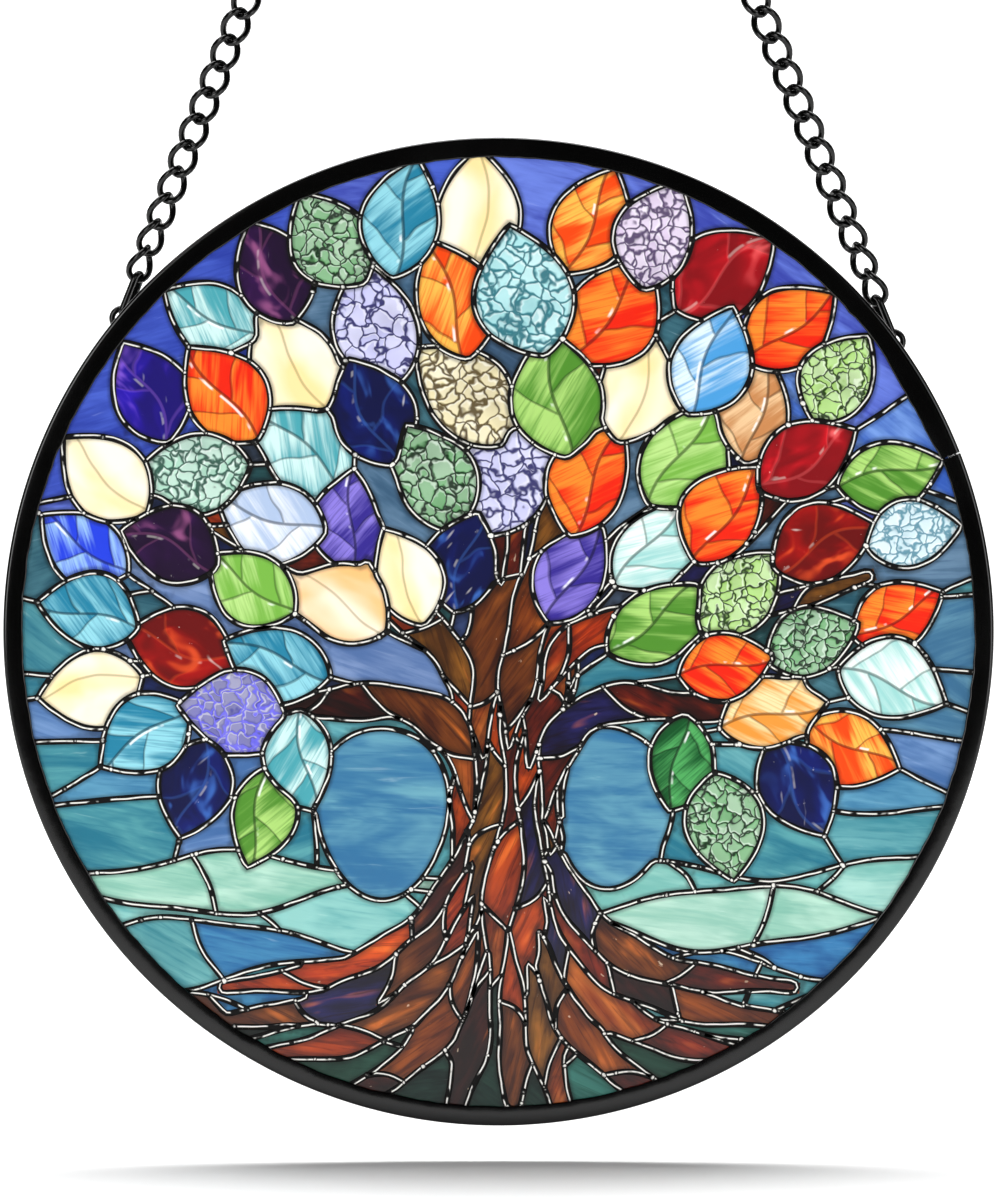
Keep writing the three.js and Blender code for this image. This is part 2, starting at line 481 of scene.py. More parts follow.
SKY_TINTS = {
    "high sky": ("3d52b8", "6f8ae0", "3247a8", "5a74d4", "4450b0", "7a90e2", "3f68bc", "86aae4"),
    "slate": ("466884", "7694ae", "3c5872", "627e9a", "58638a", "848fb4", "2c5c6c", "5c8c98"),
    "dusk": ("161f4a", "2c3f78", "1e2a4c", "41527c", "2c3644", "4e5c70", "143c42", "3a6a6c"),
    "side sky": ("547fa4", "84aec6", "47789a", "78a8bc", "5f7cac", "90a6cc", "347c90", "68a6ac"),
    "haze": ("3f7ea6", "74aec8", "2f8096", "6cb0b4", "5078ac", "86a6d0", "44909f", "80bcc0"),
    "shallows": ("8cc4b2", "c4e6d6", "82c0b8", "b6e0d6", "62aeb0", "9ed4ce", "9ccdbc", "d0ecde"),
    "water": ("246aa2", "5aa0c4", "2a8290", "6cb6b8", "1a5894", "4890c0", "3c8a96", "84c0c0"),
    "ground": ("1c3a30", "345e50", "162826", "2c4c42", "22564e", "4c8a80", "121e1c", "243a32"),
}


@dataclass(frozen=True)
class Grain:
    """What the print's patterns are drawn from.

    Attributes:
        board: The node tree.
        along: Place along the cell, in cell lengths from its middle.
        across: Place across the cell, in cell lengths.
        seed: A number of the cell's own.
        edge: Distance from the lead, in millimetres.
        body: The cell's first colour.
        vein: The cell's second colour.
    """

    board: Board
    along: Sock
    across: Sock
    seed: Sock
    edge: Sock
    body: Sock
    vein: Sock

    @classmethod
    def read(cls, board: Board) -> "Grain":
        """Reads the piece's map and attributes.

        Args:
            board: The material's node tree.

        Returns:
            What they give.
        """
        flat = board.node("ShaderNodeUVMap", {"uv_map": "grain"})
        split = board.split(flat)
        seed = board.attribute("seed")
        edge = board.attribute("edge")
        body = board.attribute("body", "Color")
        vein = board.attribute("vein", "Color")
        return cls(board, split, split.out("Y"), seed, edge, body, vein)

    def spot(self, along: float, across: float, skew: float = 0.0) -> Sock:
        """Gives a stretched, slanted place of the cell's own to read a texture at."""
        slant = self.across + self.along * skew
        return self.board.combine(self.along * along, slant * across, self.seed * 37.0)

    def noise(self, along: float, across: float, skew: float = 0.0, *more: float) -> Sock:
        """Reads a noise texture at such a place. More numbers are its detail, roughness and warp."""
        return self.board.noise(self.spot(along, across, skew), 1.0, *more)


@dataclass(frozen=True)
class Finish:
    """A finish of the object.

    Attributes:
        name: Its name.
    """

    name: str

    def surface(self, board: Board) -> Inputs:
        """Gives the shader's inputs.

        Args:
            board: The material's node tree.

        Returns:
            Values and links by the inputs' names.
        """
        raise NotImplementedError

    def material(self) -> Material:
        """Makes the material."""
        material = bpy.data.materials.new(self.name)
        material.use_nodes = True
        material.node_tree.nodes.clear()
        board = Board(material.node_tree)
        shader = board.node("ShaderNodeBsdfPrincipled", None, self.surface(board))
        board.node("ShaderNodeOutputMaterial", None, {"Surface": shader})
        return material


@dataclass(frozen=True)
class PrintedGlass(Finish):
    """Gloss ink on clear acrylic that imitates a sheet of coloured glass.

    Attributes:
        relief: Depth of the drawn relief, in metres.
        coat: Weight of the clear coat.
        glow: Painted glow: the ink gives off light at this share of its colour, in place of light coming
            through the print.
        gloss: Roughness of the ink.
        depth: Contrast of its colours.
        rim_shade: Width of the painted shade beside a lead line, in millimetres.
    """

    relief: float = 0.0001
    coat: float = 0.2
    glow: float = 0.12
    gloss: float = 0.3
    depth: float = 1.18
    rim_shade: float = 1.5

    def paint(self, board: Board, grain: Grain) -> tuple[Sock, Sock]:
        """Draws the pattern.

        Args:
            board: The material's node tree.
            grain: What the pattern is drawn from.

        Returns:
            Its colour and its height.
        """
        raise NotImplementedError

    def surface(self, board: Board) -> Inputs:
        """Gives the shader's inputs."""
        grain = Grain.read(board)
        colour, height = self.paint(board, grain)
        # Painted shade: the ink is darkened towards near black within this width of a lead line.
        shade = grain.edge.over(0.4, self.rim_shade)
        rich = board.node("ShaderNodeGamma", None, {"Color": colour, "Gamma": self.depth})
        shaded = board.mix((1.0 - shade) * 0.6, rich, "060403")
        fleck = grain.noise(30.0, 30.0)
        bump = board.bump(height, 0.5, self.relief)
        return {
            "Base Color": shaded,
            "Roughness": self.gloss + 0.12 * fleck,
            "Specular IOR Level": 0.2,
            "Coat Weight": self.coat,
            "Coat Roughness": 0.08,
            "Alpha": 0.985,
            # Painted glow: emission in the ink's own colour, though the print is no lamp.
            "Emission Color": shaded,
            "Emission Strength": self.glow,
            "Normal": bump,
        }


@dataclass(frozen=True)
class LeafVeins:
    """Veins of a leaf: crease lines, a painted highlight beside the middle rib, and painted shade that makes
    the leaf look folded, each facet lit differently.

    Attributes:
        ribs: Side ribs over the leaf's length.
        lean: How far the side ribs lean forward.
        bend: How far the middle rib bends.
    """

    ribs: float = 2.3
    lean: float = 1.9
    bend: float = 0.05

    def draw(self, grain: Grain) -> tuple[Sock, Sock, Sock]:
        """Draws the creases, the painted highlight and the painted facet shade, all from 0 to 1.

        Args:
            grain: What they are drawn from.

        Returns:
            The crease lines, the painted highlight beside them and the painted shade of the facet folds.
        """
        phase = grain.seed * 6.3
        middle = (grain.along * 5.5 + phase).sine() * self.bend
        aside = grain.across - middle
        wobble = grain.noise(3.0, 3.0, 0.0, 1.0) * 0.35
        side = aside.over(-0.001, 0.001)
        start = grain.seed * 5.0 + side * 0.37 + wobble
        ribs = (grain.along * self.ribs - abs(aside) * self.lean + start).fraction()
        rib_line = abs(ribs - 0.5).over(0.455, 0.49)
        middle_line = 1.0 - abs(aside).over(0.006, 0.02)
        lines = middle_line.most(rib_line * 0.75)
        # Painted highlight: a light line beside the middle rib, broken by noise.
        lit = 1.0 - abs(aside - 0.026).over(0.004, 0.018)
        shine = lit * grain.noise(5.0, 2.0).over(0.53, 0.6)
        # Painted shade of folds: the tone ramps across each rib band and steps between the leaf's two
        # halves.
        return lines, shine, ribs * 0.65 + side * 0.35


@dataclass(frozen=True)
class StreakedGlass(PrintedGlass):
    """Two colours pulled through each other in streaks, with painted facet shade and a painted highlight
    that make the leaf look folded.

    Attributes:
        veins: The leaf's veins.
    """

    veins: LeafVeins = field(default_factory=LeafVeins)

    def paint(self, board: Board, grain: Grain) -> tuple[Sock, Sock]:
        """Draws streaks, painted facet shade, creases and the painted highlight."""
        lines, shine, facet_shade = self.veins.draw(grain)
        broad = grain.noise(1.6, 6.0, 0.8, 2.0, 0.5, 0.6)
        fine = grain.noise(3.0, 38.0, 0.8)
        blend = (broad * 1.5 + facet_shade * 0.75 + fine * 0.45 - 0.95).over(0.05, 0.75)
        streaks = board.mix(blend, grain.body, grain.vein)
        deep = board.mix((1.0 - fine.over(0.34, 0.5)) * 0.35, streaks, grain.body)
        creased = board.mix(lines * 0.7, deep, board.mix(0.8, grain.body, "0c0604"))
        # The white here is the painted highlight beside the middle rib.
        return board.mix(shine * 0.75, creased, "ffffff"), facet_shade * 0.6 + fine * 0.3 - lines * 0.7


@dataclass(frozen=True)
class OpalGlass(PrintedGlass):
    """Milky glass with a soft cloud and one thin curved vein."""

    def paint(self, board: Board, grain: Grain) -> tuple[Sock, Sock]:
        """Draws the cloud and the vein."""
        cloud = grain.noise(1.6, 2.8, 0.0, 2.0, 0.4, 0.4)
        curve = (grain.along * 4.6 + grain.seed * 9.0).sine() * 0.07
        aside = grain.across - curve + grain.noise(3.0, 0.0, 0.0, 1.0) * 0.05
        vein = 1.0 - abs(aside).over(0.004, 0.017)
        # A band of the second colour beside the vein; this is the glass's own tint.
        vein_tint_and_lit_pool = (1.0 - abs(aside - 0.03).over(0.0, 0.2)) * 0.55
        blend = (cloud.over(0.35, 0.75) * 0.7 + vein_tint_and_lit_pool).least(1.0)
        milk = board.mix(blend, grain.body, grain.vein)
        drawn = board.mix(vein * 0.45, milk, "8a7a4a")
        return drawn, cloud * 0.4 - vein * 0.5


@dataclass(frozen=True)
class DeepGlass(PrintedGlass):
    """Dark, clear-looking glass with painted pools of light, fine lit creases and small painted glints.

    Attributes:
        veins: The leaf's veins.
    """

    veins: LeafVeins = field(default_factory=lambda: LeafVeins(1.6, 1.3, 0.08))

    def paint(self, board: Board, grain: Grain) -> tuple[Sock, Sock]:
        """Draws the painted light, creases and glints."""
        lines, shine, facet_shade = self.veins.draw(grain)
        # Painted light: pools of light over a darkened body, lit creases in the second colour, and white
        # highlight streaks and dots.
        light_pool = grain.noise(2.2, 3.6, 0.0, 2.0, 0.5, 0.8)
        glow = (light_pool * 1.5 + facet_shade * 0.5 - 0.8).over(0.0, 0.65)
        dark = board.mix(0.62, grain.body, "060204")
        lit = board.mix(glow, dark, grain.body)
        vein_tint_and_lit_pool = board.mix(light_pool.over(0.54, 0.7) * 0.75, lit, grain.vein)
        lined = board.mix(lines * 0.25, vein_tint_and_lit_pool, grain.vein)
        highlight_streak = grain.noise(4.0, 11.0, 0.5, 1.0).over(0.71, 0.82)
        glint_dot = grain.noise(16.0, 22.0).over(0.74, 0.79)
        glints = board.mix((highlight_streak * 0.7).most(glint_dot * 0.5).most(shine * 0.3), lined, "f6f2ea")
        return glints, light_pool + lines * 0.4


@dataclass(frozen=True)
class CrackledGlass(PrintedGlass):
    """Glass with a net of fine cracks around small pebbles.

    Attributes:
        cracks: Pebbles over the cell's length.
    """

    cracks: float = 9.0

    def paint(self, board: Board, grain: Grain) -> tuple[Sock, Sock]:
        """Draws the net, with a painted highlight beside each crack."""
        spot = grain.spot(1.0, 1.0)
        warp = board.node("ShaderNodeTexNoise", None, {"Vector": spot, "Scale": 6.0, "Detail": 2.0}, "Color")
        push = board.vector("SCALE", {0: warp, "Scale": 0.2})
        bent = board.vector("ADD", {0: spot, 1: push})
        beside = board.vector("ADD", {0: bent, 1: (0.013, -0.013, 0.0)})
        width = 0.09 + grain.seed * 0.06
        wall = board.voronoi(bent, self.cracks, "DISTANCE_TO_EDGE")
        lines = 1.0 - wall.over(0.02, width)
        # Painted highlight: a light line printed just beside each crack line, so the net looks raised.
        lit = 1.0 - board.voronoi(beside, self.cracks, "DISTANCE_TO_EDGE").over(0.02, width)
        pebble = board.voronoi(bent, self.cracks, "F1", "Color")
        cloud = board.noise(spot, 2.4, 2.0)
        milky = board.mix(pebble * 0.3 + wall.over(0.04, 0.2) * 0.15, grain.body, "ffffff")
        # Darker in soft random clouds, toward the second colour.
        shaded = board.mix(cloud.over(0.4, 0.75) * 0.25, milky, grain.vein)
        highlit_cracks = board.mix(lit * 0.4, shaded, "ffffff")
        return board.mix(lines * 0.92, highlit_cracks, grain.vein), wall.over(0.0, 0.22)


@dataclass(frozen=True)
class SkyGlass(PrintedGlass):
    """Still glass with soft level streaks, as in sky and water."""

    def paint(self, board: Board, grain: Grain) -> tuple[Sock, Sock]:
        """Draws the level streaks."""
        sweep = grain.noise(0.7, 2.6, 0.15, 3.0, 0.55, 0.9)
        fine = grain.noise(1.6, 15.0, 0.15, 3.0, 0.6, 0.5)
        blend = (sweep * 1.3 + fine * 0.45 - 0.5).over(0.1, 0.72)
        base = board.mix(blend, grain.body, grain.vein)
        wisp = (fine - sweep * 0.2).over(0.54, 0.66) * 0.12
        pale = board.mix(wisp, base, "f2f7fa")
        deep = board.mix((1.0 - fine.over(0.34, 0.46)) * 0.3, pale, grain.body)
        return deep, fine


@dataclass(frozen=True)
class BarkGlass(PrintedGlass):
    """Brown glass with flowing grain and a few fiery streaks."""

    def paint(self, board: Board, grain: Grain) -> tuple[Sock, Sock]:
        """Draws the grain and a few painted glints."""
        flow = grain.noise(1.2, 4.4, 0.3, 2.0, 0.5, 0.8)
        fine = grain.noise(2.0, 20.0, 0.3, 3.0, 0.55, 0.6)
        base = board.mix((flow * 1.3 + fine * 0.4 - 0.45).over(0.1, 0.75), grain.body, grain.vein)
        fire = board.mix(flow.over(0.6, 0.76) * 0.6, base, "f08a3c")
        dark = board.mix((1.0 - fine.over(0.34, 0.5)) * 0.4, fire, "240804")
        # Painted glints: small light flecks over the grain.
        glint = grain.noise(9.0, 20.0).over(0.72, 0.78)
        return board.mix(glint * 0.6, dark, "f0dcc0"), fine + flow * 0.5


GLASS_FINISHES = {
    Glass.STREAKED: StreakedGlass("streaked_glass_print"),
    Glass.CRACKLED: CrackledGlass("crackled_glass_print", relief=0.00018),
    Glass.OPAL: OpalGlass("opal_glass_print"),
    Glass.DEEP: DeepGlass("deep_glass_print", coat=0.6),
    Glass.SKY: SkyGlass("sky_and_water_print"),
    Glass.BARK: BarkGlass("bark_glass_print", coat=0.35, rim_shade=2.2),
}


@dataclass(frozen=True)
class LeadFinish(Finish):
    """Painted lead line: near black, with a broken silver painted highlight along its ridge.

    Attributes:
        ridge: Half-width of the painted highlight along the ridge, as a share of the line's half-width.
    """

    ridge: float = 0.22

    def surface(self, board: Board) -> Inputs:
        """Gives the shader's inputs."""
        across = board.attribute("across")
        place = board.place()
        sway = board.noise(place, 150.0, 1.0)
        gap = board.noise(place, 330.0, 2.0)
        aside = abs(across - (sway - 0.42) * 1.5)
        # Painted highlight: a broken silver-white line along the lead, a little off its middle.
        ridge = (1.0 - aside.over(self.ridge * 0.6, self.ridge * 1.5)) * gap.over(0.37, 0.46)
        dark = board.mix(gap.over(0.5, 0.8) * 0.5, "040303", "24180f")
        colour = board.mix(ridge, dark, "f6f4ee")
        bump = board.bump(gap, 0.3)
        return {
            "Base Color": colour,
            "Roughness": 0.45 - 0.1 * ridge,
            "Metallic": ridge * 0.2,
            "Specular IOR Level": 0.15,
            "Normal": bump,
        }


@dataclass(frozen=True)
class SolderFinish(Finish):
    """Painted solder bead: black foot and a small painted highlight on its top."""

    def surface(self, board: Board) -> Inputs:
        """Gives the shader's inputs."""
        place = board.place()
        height = board.attribute("lift")
        blotch = board.noise(place, 520.0, 2.0)
        # Painted highlight on the bead's top, broken by noise.
        top_glint = (height * 0.8 + blotch * 1.2).over(1.25, 1.45)
        bump = board.bump(blotch, 0.5)
        return {
            "Base Color": board.mix(top_glint, "060504", "f2f0ea"),
            "Roughness": 0.4 - 0.1 * top_glint,
            "Specular IOR Level": 0.2,
            "Normal": bump,
        }


@dataclass(frozen=True)
class BlackEnamel(Finish):
    """Gloss black paint on metal, with a faint orange-peel skin and dulled spots.

    Attributes:
        peel: Scale of the orange-peel skin.
        gloss: Roughness where the paint is cleanest.
    """

    peel: float = 420.0
    gloss: float = 0.1

    def surface(self, board: Board) -> Inputs:
        """Gives the shader's inputs."""
        place = board.place()
        skin = board.noise(place, self.peel, 3.0)
        dull = board.noise(place, self.peel * 0.12, 3.0)
        bump = board.bump(skin, 0.25, 0.00005)
        return {
            "Base Color": board.mix(dull.over(0.4, 0.7), "010101", "040404"),
            "Roughness": self.gloss + 0.08 * dull,
            "Specular IOR Level": 0.4,
            "Normal": bump,
        }


@dataclass(frozen=True)
class ClearAcrylic(Finish):
    """Clear cast acrylic: see-through by plain values, with a faintly uneven polish.

    Attributes:
        bend: Index of refraction.
    """

    bend: float = 1.49

    def surface(self, board: Board) -> Inputs:
        """Gives the shader's inputs."""
        place = board.place()
        haze = board.noise(place, 35.0, 3.0)
        return {
            "Base Color": (0.97, 0.99, 0.99, 1.0),
            "Roughness": 0.015 + 0.02 * haze,
            "IOR": self.bend,
            "Transmission Weight": 1.0,
        }


@dataclass(frozen=True)
class WhiteSweep(Finish):
    """Matt white studio paper that gets lighter far behind."""

    def surface(self, board: Board) -> Inputs:
        """Gives the shader's inputs."""
        place = board.place()
        depth = board.split(place, "Y")
        mottle = board.noise(place, 3.0, 2.0)
        return {
            "Base Color": board.mix(mottle, "f5f5f5", "f9f9f9"),
            "Roughness": 0.9,
            "Specular IOR Level": 0.0,
            "Emission Color": board.mix(depth.over(0.1, 1.0), "000000", "ffffff"),
            "Emission Strength": 1.0,
        }


def inside(points: Array, outline: Array) -> Array:
    """Tells which points lie inside a closed outline.

    Args:
        points: The points, two numbers each.
        outline: The outline's corners.

    Returns:
        One truth value a point.
    """
    result = np.zeros(len(points), bool)
    near = np.nonzero(np.all((points >= outline.min(0)) & (points <= outline.max(0)), axis=1))[0]
    if not len(near):
        return result
    x, y = points[near, 0][:, None], points[near, 1][:, None]
    x0, y0 = outline[:, 0][None], outline[:, 1][None]
    x1, y1 = np.roll(x0, -1), np.roll(y0, -1)
    spans = (y0 > y) != (y1 > y)
    rise = np.where(y1 == y0, 1.0, y1 - y0)
    hits = spans & (x < (x1 - x0) * (y - y0) / rise + x0)
    result[near] = hits.sum(axis=1) % 2 == 1
    return result


def distances(points: Array, targets: Array) -> Array:
    """Measures how far flat points are from the nearest target.

    Args:
        points: The points.
        targets: The targets.

    Returns:
        One distance a point.
    """
    tree = kdtree.KDTree(len(targets))
    for index, (x, y) in enumerate(targets):
        tree.insert((x, y, 0), index)
    tree.balance()
    return np.array([tree.find((x, y, 0))[2] for x, y in points])


def smooth_path(knots: Sequence[Sequence[float]], step: float) -> Array:
    """Draws a smooth curve through a few knots.

    Args:
        knots: The knots, any numbers each.
        step: Wanted spacing of the points.

    Returns:
        Points of a Catmull-Rom curve.
    """
    given = np.array(knots, float)
    padded = np.vstack([2 * given[0] - given[1], given, 2 * given[-1] - given[-2]])
    pieces = []
    for index in range(len(given) - 1):
        before, start, end, after = padded[index:index + 4]
        count = max(2, int(np.linalg.norm((end - start)[:2]) / step))
        t = np.linspace(0, 1, count, endpoint=False)[:, None]
        curve = 2 * start + (end - before) * t
        curve = curve + (2 * before - 5 * start + 4 * end - after) * t ** 2
        curve = curve + (3 * start - before - 3 * end + after) * t ** 3
        pieces.append(curve / 2)
    pieces.append(given[-1:])
    return np.vstack(pieces)


@dataclass(frozen=True)
class Patch:
    """One closed shape of the picture, a leaf or a stretch of wood.

    Attributes:
        outline: Its corners.
        rank: What lies over what. A higher rank covers a lower one.
        tint: Name of a leaf's tint, or nothing for wood.
        middle: A leaf's middle.
        heading: Direction from a leaf's base to its tip.
        length: A leaf's length.
    """

    outline: Array
    rank: int
    tint: str = ""
    middle: Pair = (0.0, 0.0)
    heading: float = 0.0
    length: float = 1.0


@dataclass(frozen=True)
class Line:
    """One lead line of the picture.

    Attributes:
        points: Its points.
        rank: Rank of the patch that it is drawn on, 0 for the sky.
        inner: Whether it only shows inside its patch.
    """

    points: Array
    rank: int
    inner: bool = False


# Spacing of the points along a line, and how far a short line runs past its ends
LINE_STEP = 0.8
OVERLAP = 0.4


@dataclass
class Crown:
    """The tree's leaves, packed over the crown.

    Sizes are millimetres in the picture's plane, from its middle.

    Attributes:
        rng: Source of the seeded variation.
        centre: Middle of the arcs that the leaves start on.
        arcs: Radius, first and last angle in degrees of each arc.
        spacing: Distance between leaves along an arc.
        droops: Places of the leaves that hang under the side branches, mirrored left and right.
        length: Length of an ordinary leaf.
        extra: How much longer the leaves at the top are.
        slimness: Width of a leaf as a share of its length.
        reach: Radius that the leaves stay within.
        keep_out: Middles and half-sizes of ellipses that stay free for the trunk and the windows.
        margin: Width of the soft edge of those ellipses.
        source: Point that the leaves point away from.
        jitter: How far a leaf starts from its even place.
        turn: Spread of the leaves' directions, in radians.
        top: Middle of the part of the crown with the longest leaves.
        top_reach: Its reach to the side and up.
        passes: How many times the leaves are pushed apart.
        unlike: Distance within which no two leaves share a tint.
        first_rank: Rank of the lowest leaf.
    """

    rng: np.random.Generator
    centre: Pair = (0.0, 8.0)
    arcs: tuple = ((20, 35, 150), (35, -2, 182), (50, -16, 196), (66, -24, 204), (81, -16, 196))
    spacing: float = 16.0
    droops: tuple = ((34, -30, -105), (47, -37, -80), (60, -27, -62), (72, -17, -35))
    length: float = 21.6
    extra: float = 6.0
    slimness: float = 0.7
    reach: float = 96.0
    keep_out: tuple = ((2, -24, 15, 26), (-24, -36, 13, 13), (21, -36, 12, 13), (4, 4, 8, 12))
    margin: float = 6.0
    source: Pair = (1.0, -14.0)
    jitter: float = 1.5
    turn: float = 0.3
    top: Pair = (0.0, 66.0)
    top_reach: Pair = (40.0, 30.0)
    passes: int = 160
    unlike: float = 26.0
    first_rank: int = 100

    def build(self) -> list[Patch]:
        """Packs the leaves and picks their tints.

        Returns:
            The leaves.
        """
        places, headings = self._starts()
        lengths = self._lengths(places)
        widths = lengths * (self.slimness + self.rng.uniform(-0.06, 0.06, len(places)))
        self._relax(places, headings, np.stack([lengths, widths], axis=1) / 2)
        tints = self._tints(places)
        leaves = []
        order = self.rng.permutation(len(places))
        for index in range(len(places)):
            bend = self.rng.uniform(-0.08, 0.08)
            outline = self.outline(places[index], headings[index], lengths[index], widths[index], bend)
            rank = self.first_rank + int(order[index])
            middle = tuple(places[index].tolist())
            heading, length = float(headings[index]), float(lengths[index])
            leaves.append(Patch(outline, rank, tints[index], middle, heading, length))
        LOG.info("leaves: %d", len(leaves))
        return leaves

    def _starts(self) -> tuple[Array, Array]:
        """Gives places and headings along the arcs and under the branches.

        Returns:
            One place and one heading a leaf.
        """
        places = []
        headings = []
        for radius, first, last in self.arcs:
            count = max(2, round(math.radians(last - first) * radius / self.spacing))
            for angle in np.radians(np.linspace(first, last, count)):
                x = self.centre[0] + radius * math.cos(angle) + self._shift()
                y = self.centre[1] + radius * math.sin(angle) + self._shift()
                places.append((x, y))
                outward = math.atan2(y - self.source[1], x - self.source[0])
                headings.append(outward + self.rng.normal(0, self.turn))
        for side in (-1, 1):
            for x, y, angle in self.droops:
                places.append((side * x + self.rng.uniform(-2, 2), y + self._shift()))
                turned = angle if side > 0 else 180 - angle
                headings.append(math.radians(turned) + self.rng.normal(0, self.turn / 2))
        return np.array(places), np.array(headings)

    def _shift(self) -> float:
        """Draws how far a leaf starts from its even place."""
        return self.rng.uniform(-self.jitter, self.jitter)

    def _lengths(self, places: Array) -> Array:
        """Gives each leaf's length, longest at the top of the crown."""
        x, y = ((places - self.top) / self.top_reach).T
        near_top = np.exp(-x ** 2 - y ** 2)
        return self.length + self.extra * near_top + self.rng.uniform(-1.8, 1.8, len(places))

    def _relax(self, places: Array, headings: Array, halves: Array) -> None:
        """Pushes the leaves apart until they only just touch.

        Args:
            places: The leaves' middles, moved in place.
            headings: Their directions.
            halves: Half the length and half the width of each.
        """
        homes = places.copy()
        closeness, step, rim_step, home_step = 0.9, 0.32, 0.5, 0.03
        for _ in range(self.passes):
            apart = places[:, None] - places[None]
            distance = np.hypot(apart[..., 0], apart[..., 1]) + np.eye(len(places))
            angle = np.arctan2(apart[..., 1], apart[..., 0])
            own = self._reach_towards(halves[:, None], angle - headings[:, None])
            other = self._reach_towards(halves[None], angle - headings[None])
            push = np.clip((own + other) * closeness - distance, 0, None)
            np.fill_diagonal(push, 0)
            move = (apart / distance[..., None] * push[..., None]).sum(axis=1) * step
            for x, y, wide, high in self.keep_out:
                away = places - (x, y)
                scaled = np.hypot(away[:, 0] / (wide + self.margin), away[:, 1] / (high + self.margin))
                inward = np.clip(1 - scaled, 0, None)[:, None]
                move += away / (np.hypot(*away.T)[:, None] + 0.1) * inward * self.margin
            radial = np.hypot(*places.T)
            outward = np.arctan2(places[:, 1], places[:, 0])
            over = radial + self._reach_towards(halves, outward - headings) - self.reach
            move -= places / radial[:, None] * np.clip(over, 0, None)[:, None] * rim_step
            move += (homes - places) * home_step
            places += move

    @staticmethod
    def _reach_towards(halves: Array, angle: Array) -> Array:
        """Gives the radius of an ellipse at an angle from its long axis."""
        long, short = halves[..., 0], halves[..., 1]
        return long * short / np.hypot(short * np.cos(angle), long * np.sin(angle))

    def _tints(self, places: Array) -> list[str]:
        """Picks each leaf's tint from the nearest zone, unlike its neighbours.

        Args:
            places: The leaves' middles.

        Returns:
            Names of tints.
        """
        zones = list(LEAF_ZONES.items())
        turns = [0] * len(zones)
        chosen: list[str] = []
        for place in places:
            zone = int(np.argmin([np.hypot(*(place - middle)) for middle, _ in zones]))
            names = zones[zone][1]
            near = [name for name, other in zip(chosen, places) if np.hypot(*(place - other)) < self.unlike]
            for _ in names:
                name = names[turns[zone] % len(names)]
                turns[zone] += 1
                if name not in near:
                    break
            chosen.append(name)
        return chosen

    @staticmethod
    def outline(middle: Array, heading: float, length: float, width: float, bend: float) -> Array:
        """Draws a leaf, round at its base and pointed at its tip.

        Args:
            middle: Its middle.
            heading: Direction of its tip.
            length: Its length.
            width: Its width.
            bend: Sideways bend as a share of its length.

        Returns:
            Its corners.
        """
        count = max(10, int(length / LINE_STEP))
        u = (1 - np.cos(np.linspace(0, math.pi, count))) / 2
        roundness = 0.8
        shape = u ** roundness * (1 - u)
        half = width / 2 * shape / shape.max()
        sway = bend * length * 4 * u * (1 - u)
        side_one = np.stack([(u - 0.5) * length, half + sway], axis=1)
        side_two = np.stack([(u - 0.5) * length, sway - half], axis=1)[::-1][1:-1]
        corners = np.vstack([side_one, side_two])
        turn = np.array([[math.cos(heading), -math.sin(heading)], [math.sin(heading), math.cos(heading)]])
        return corners @ turn.T + np.array(middle)


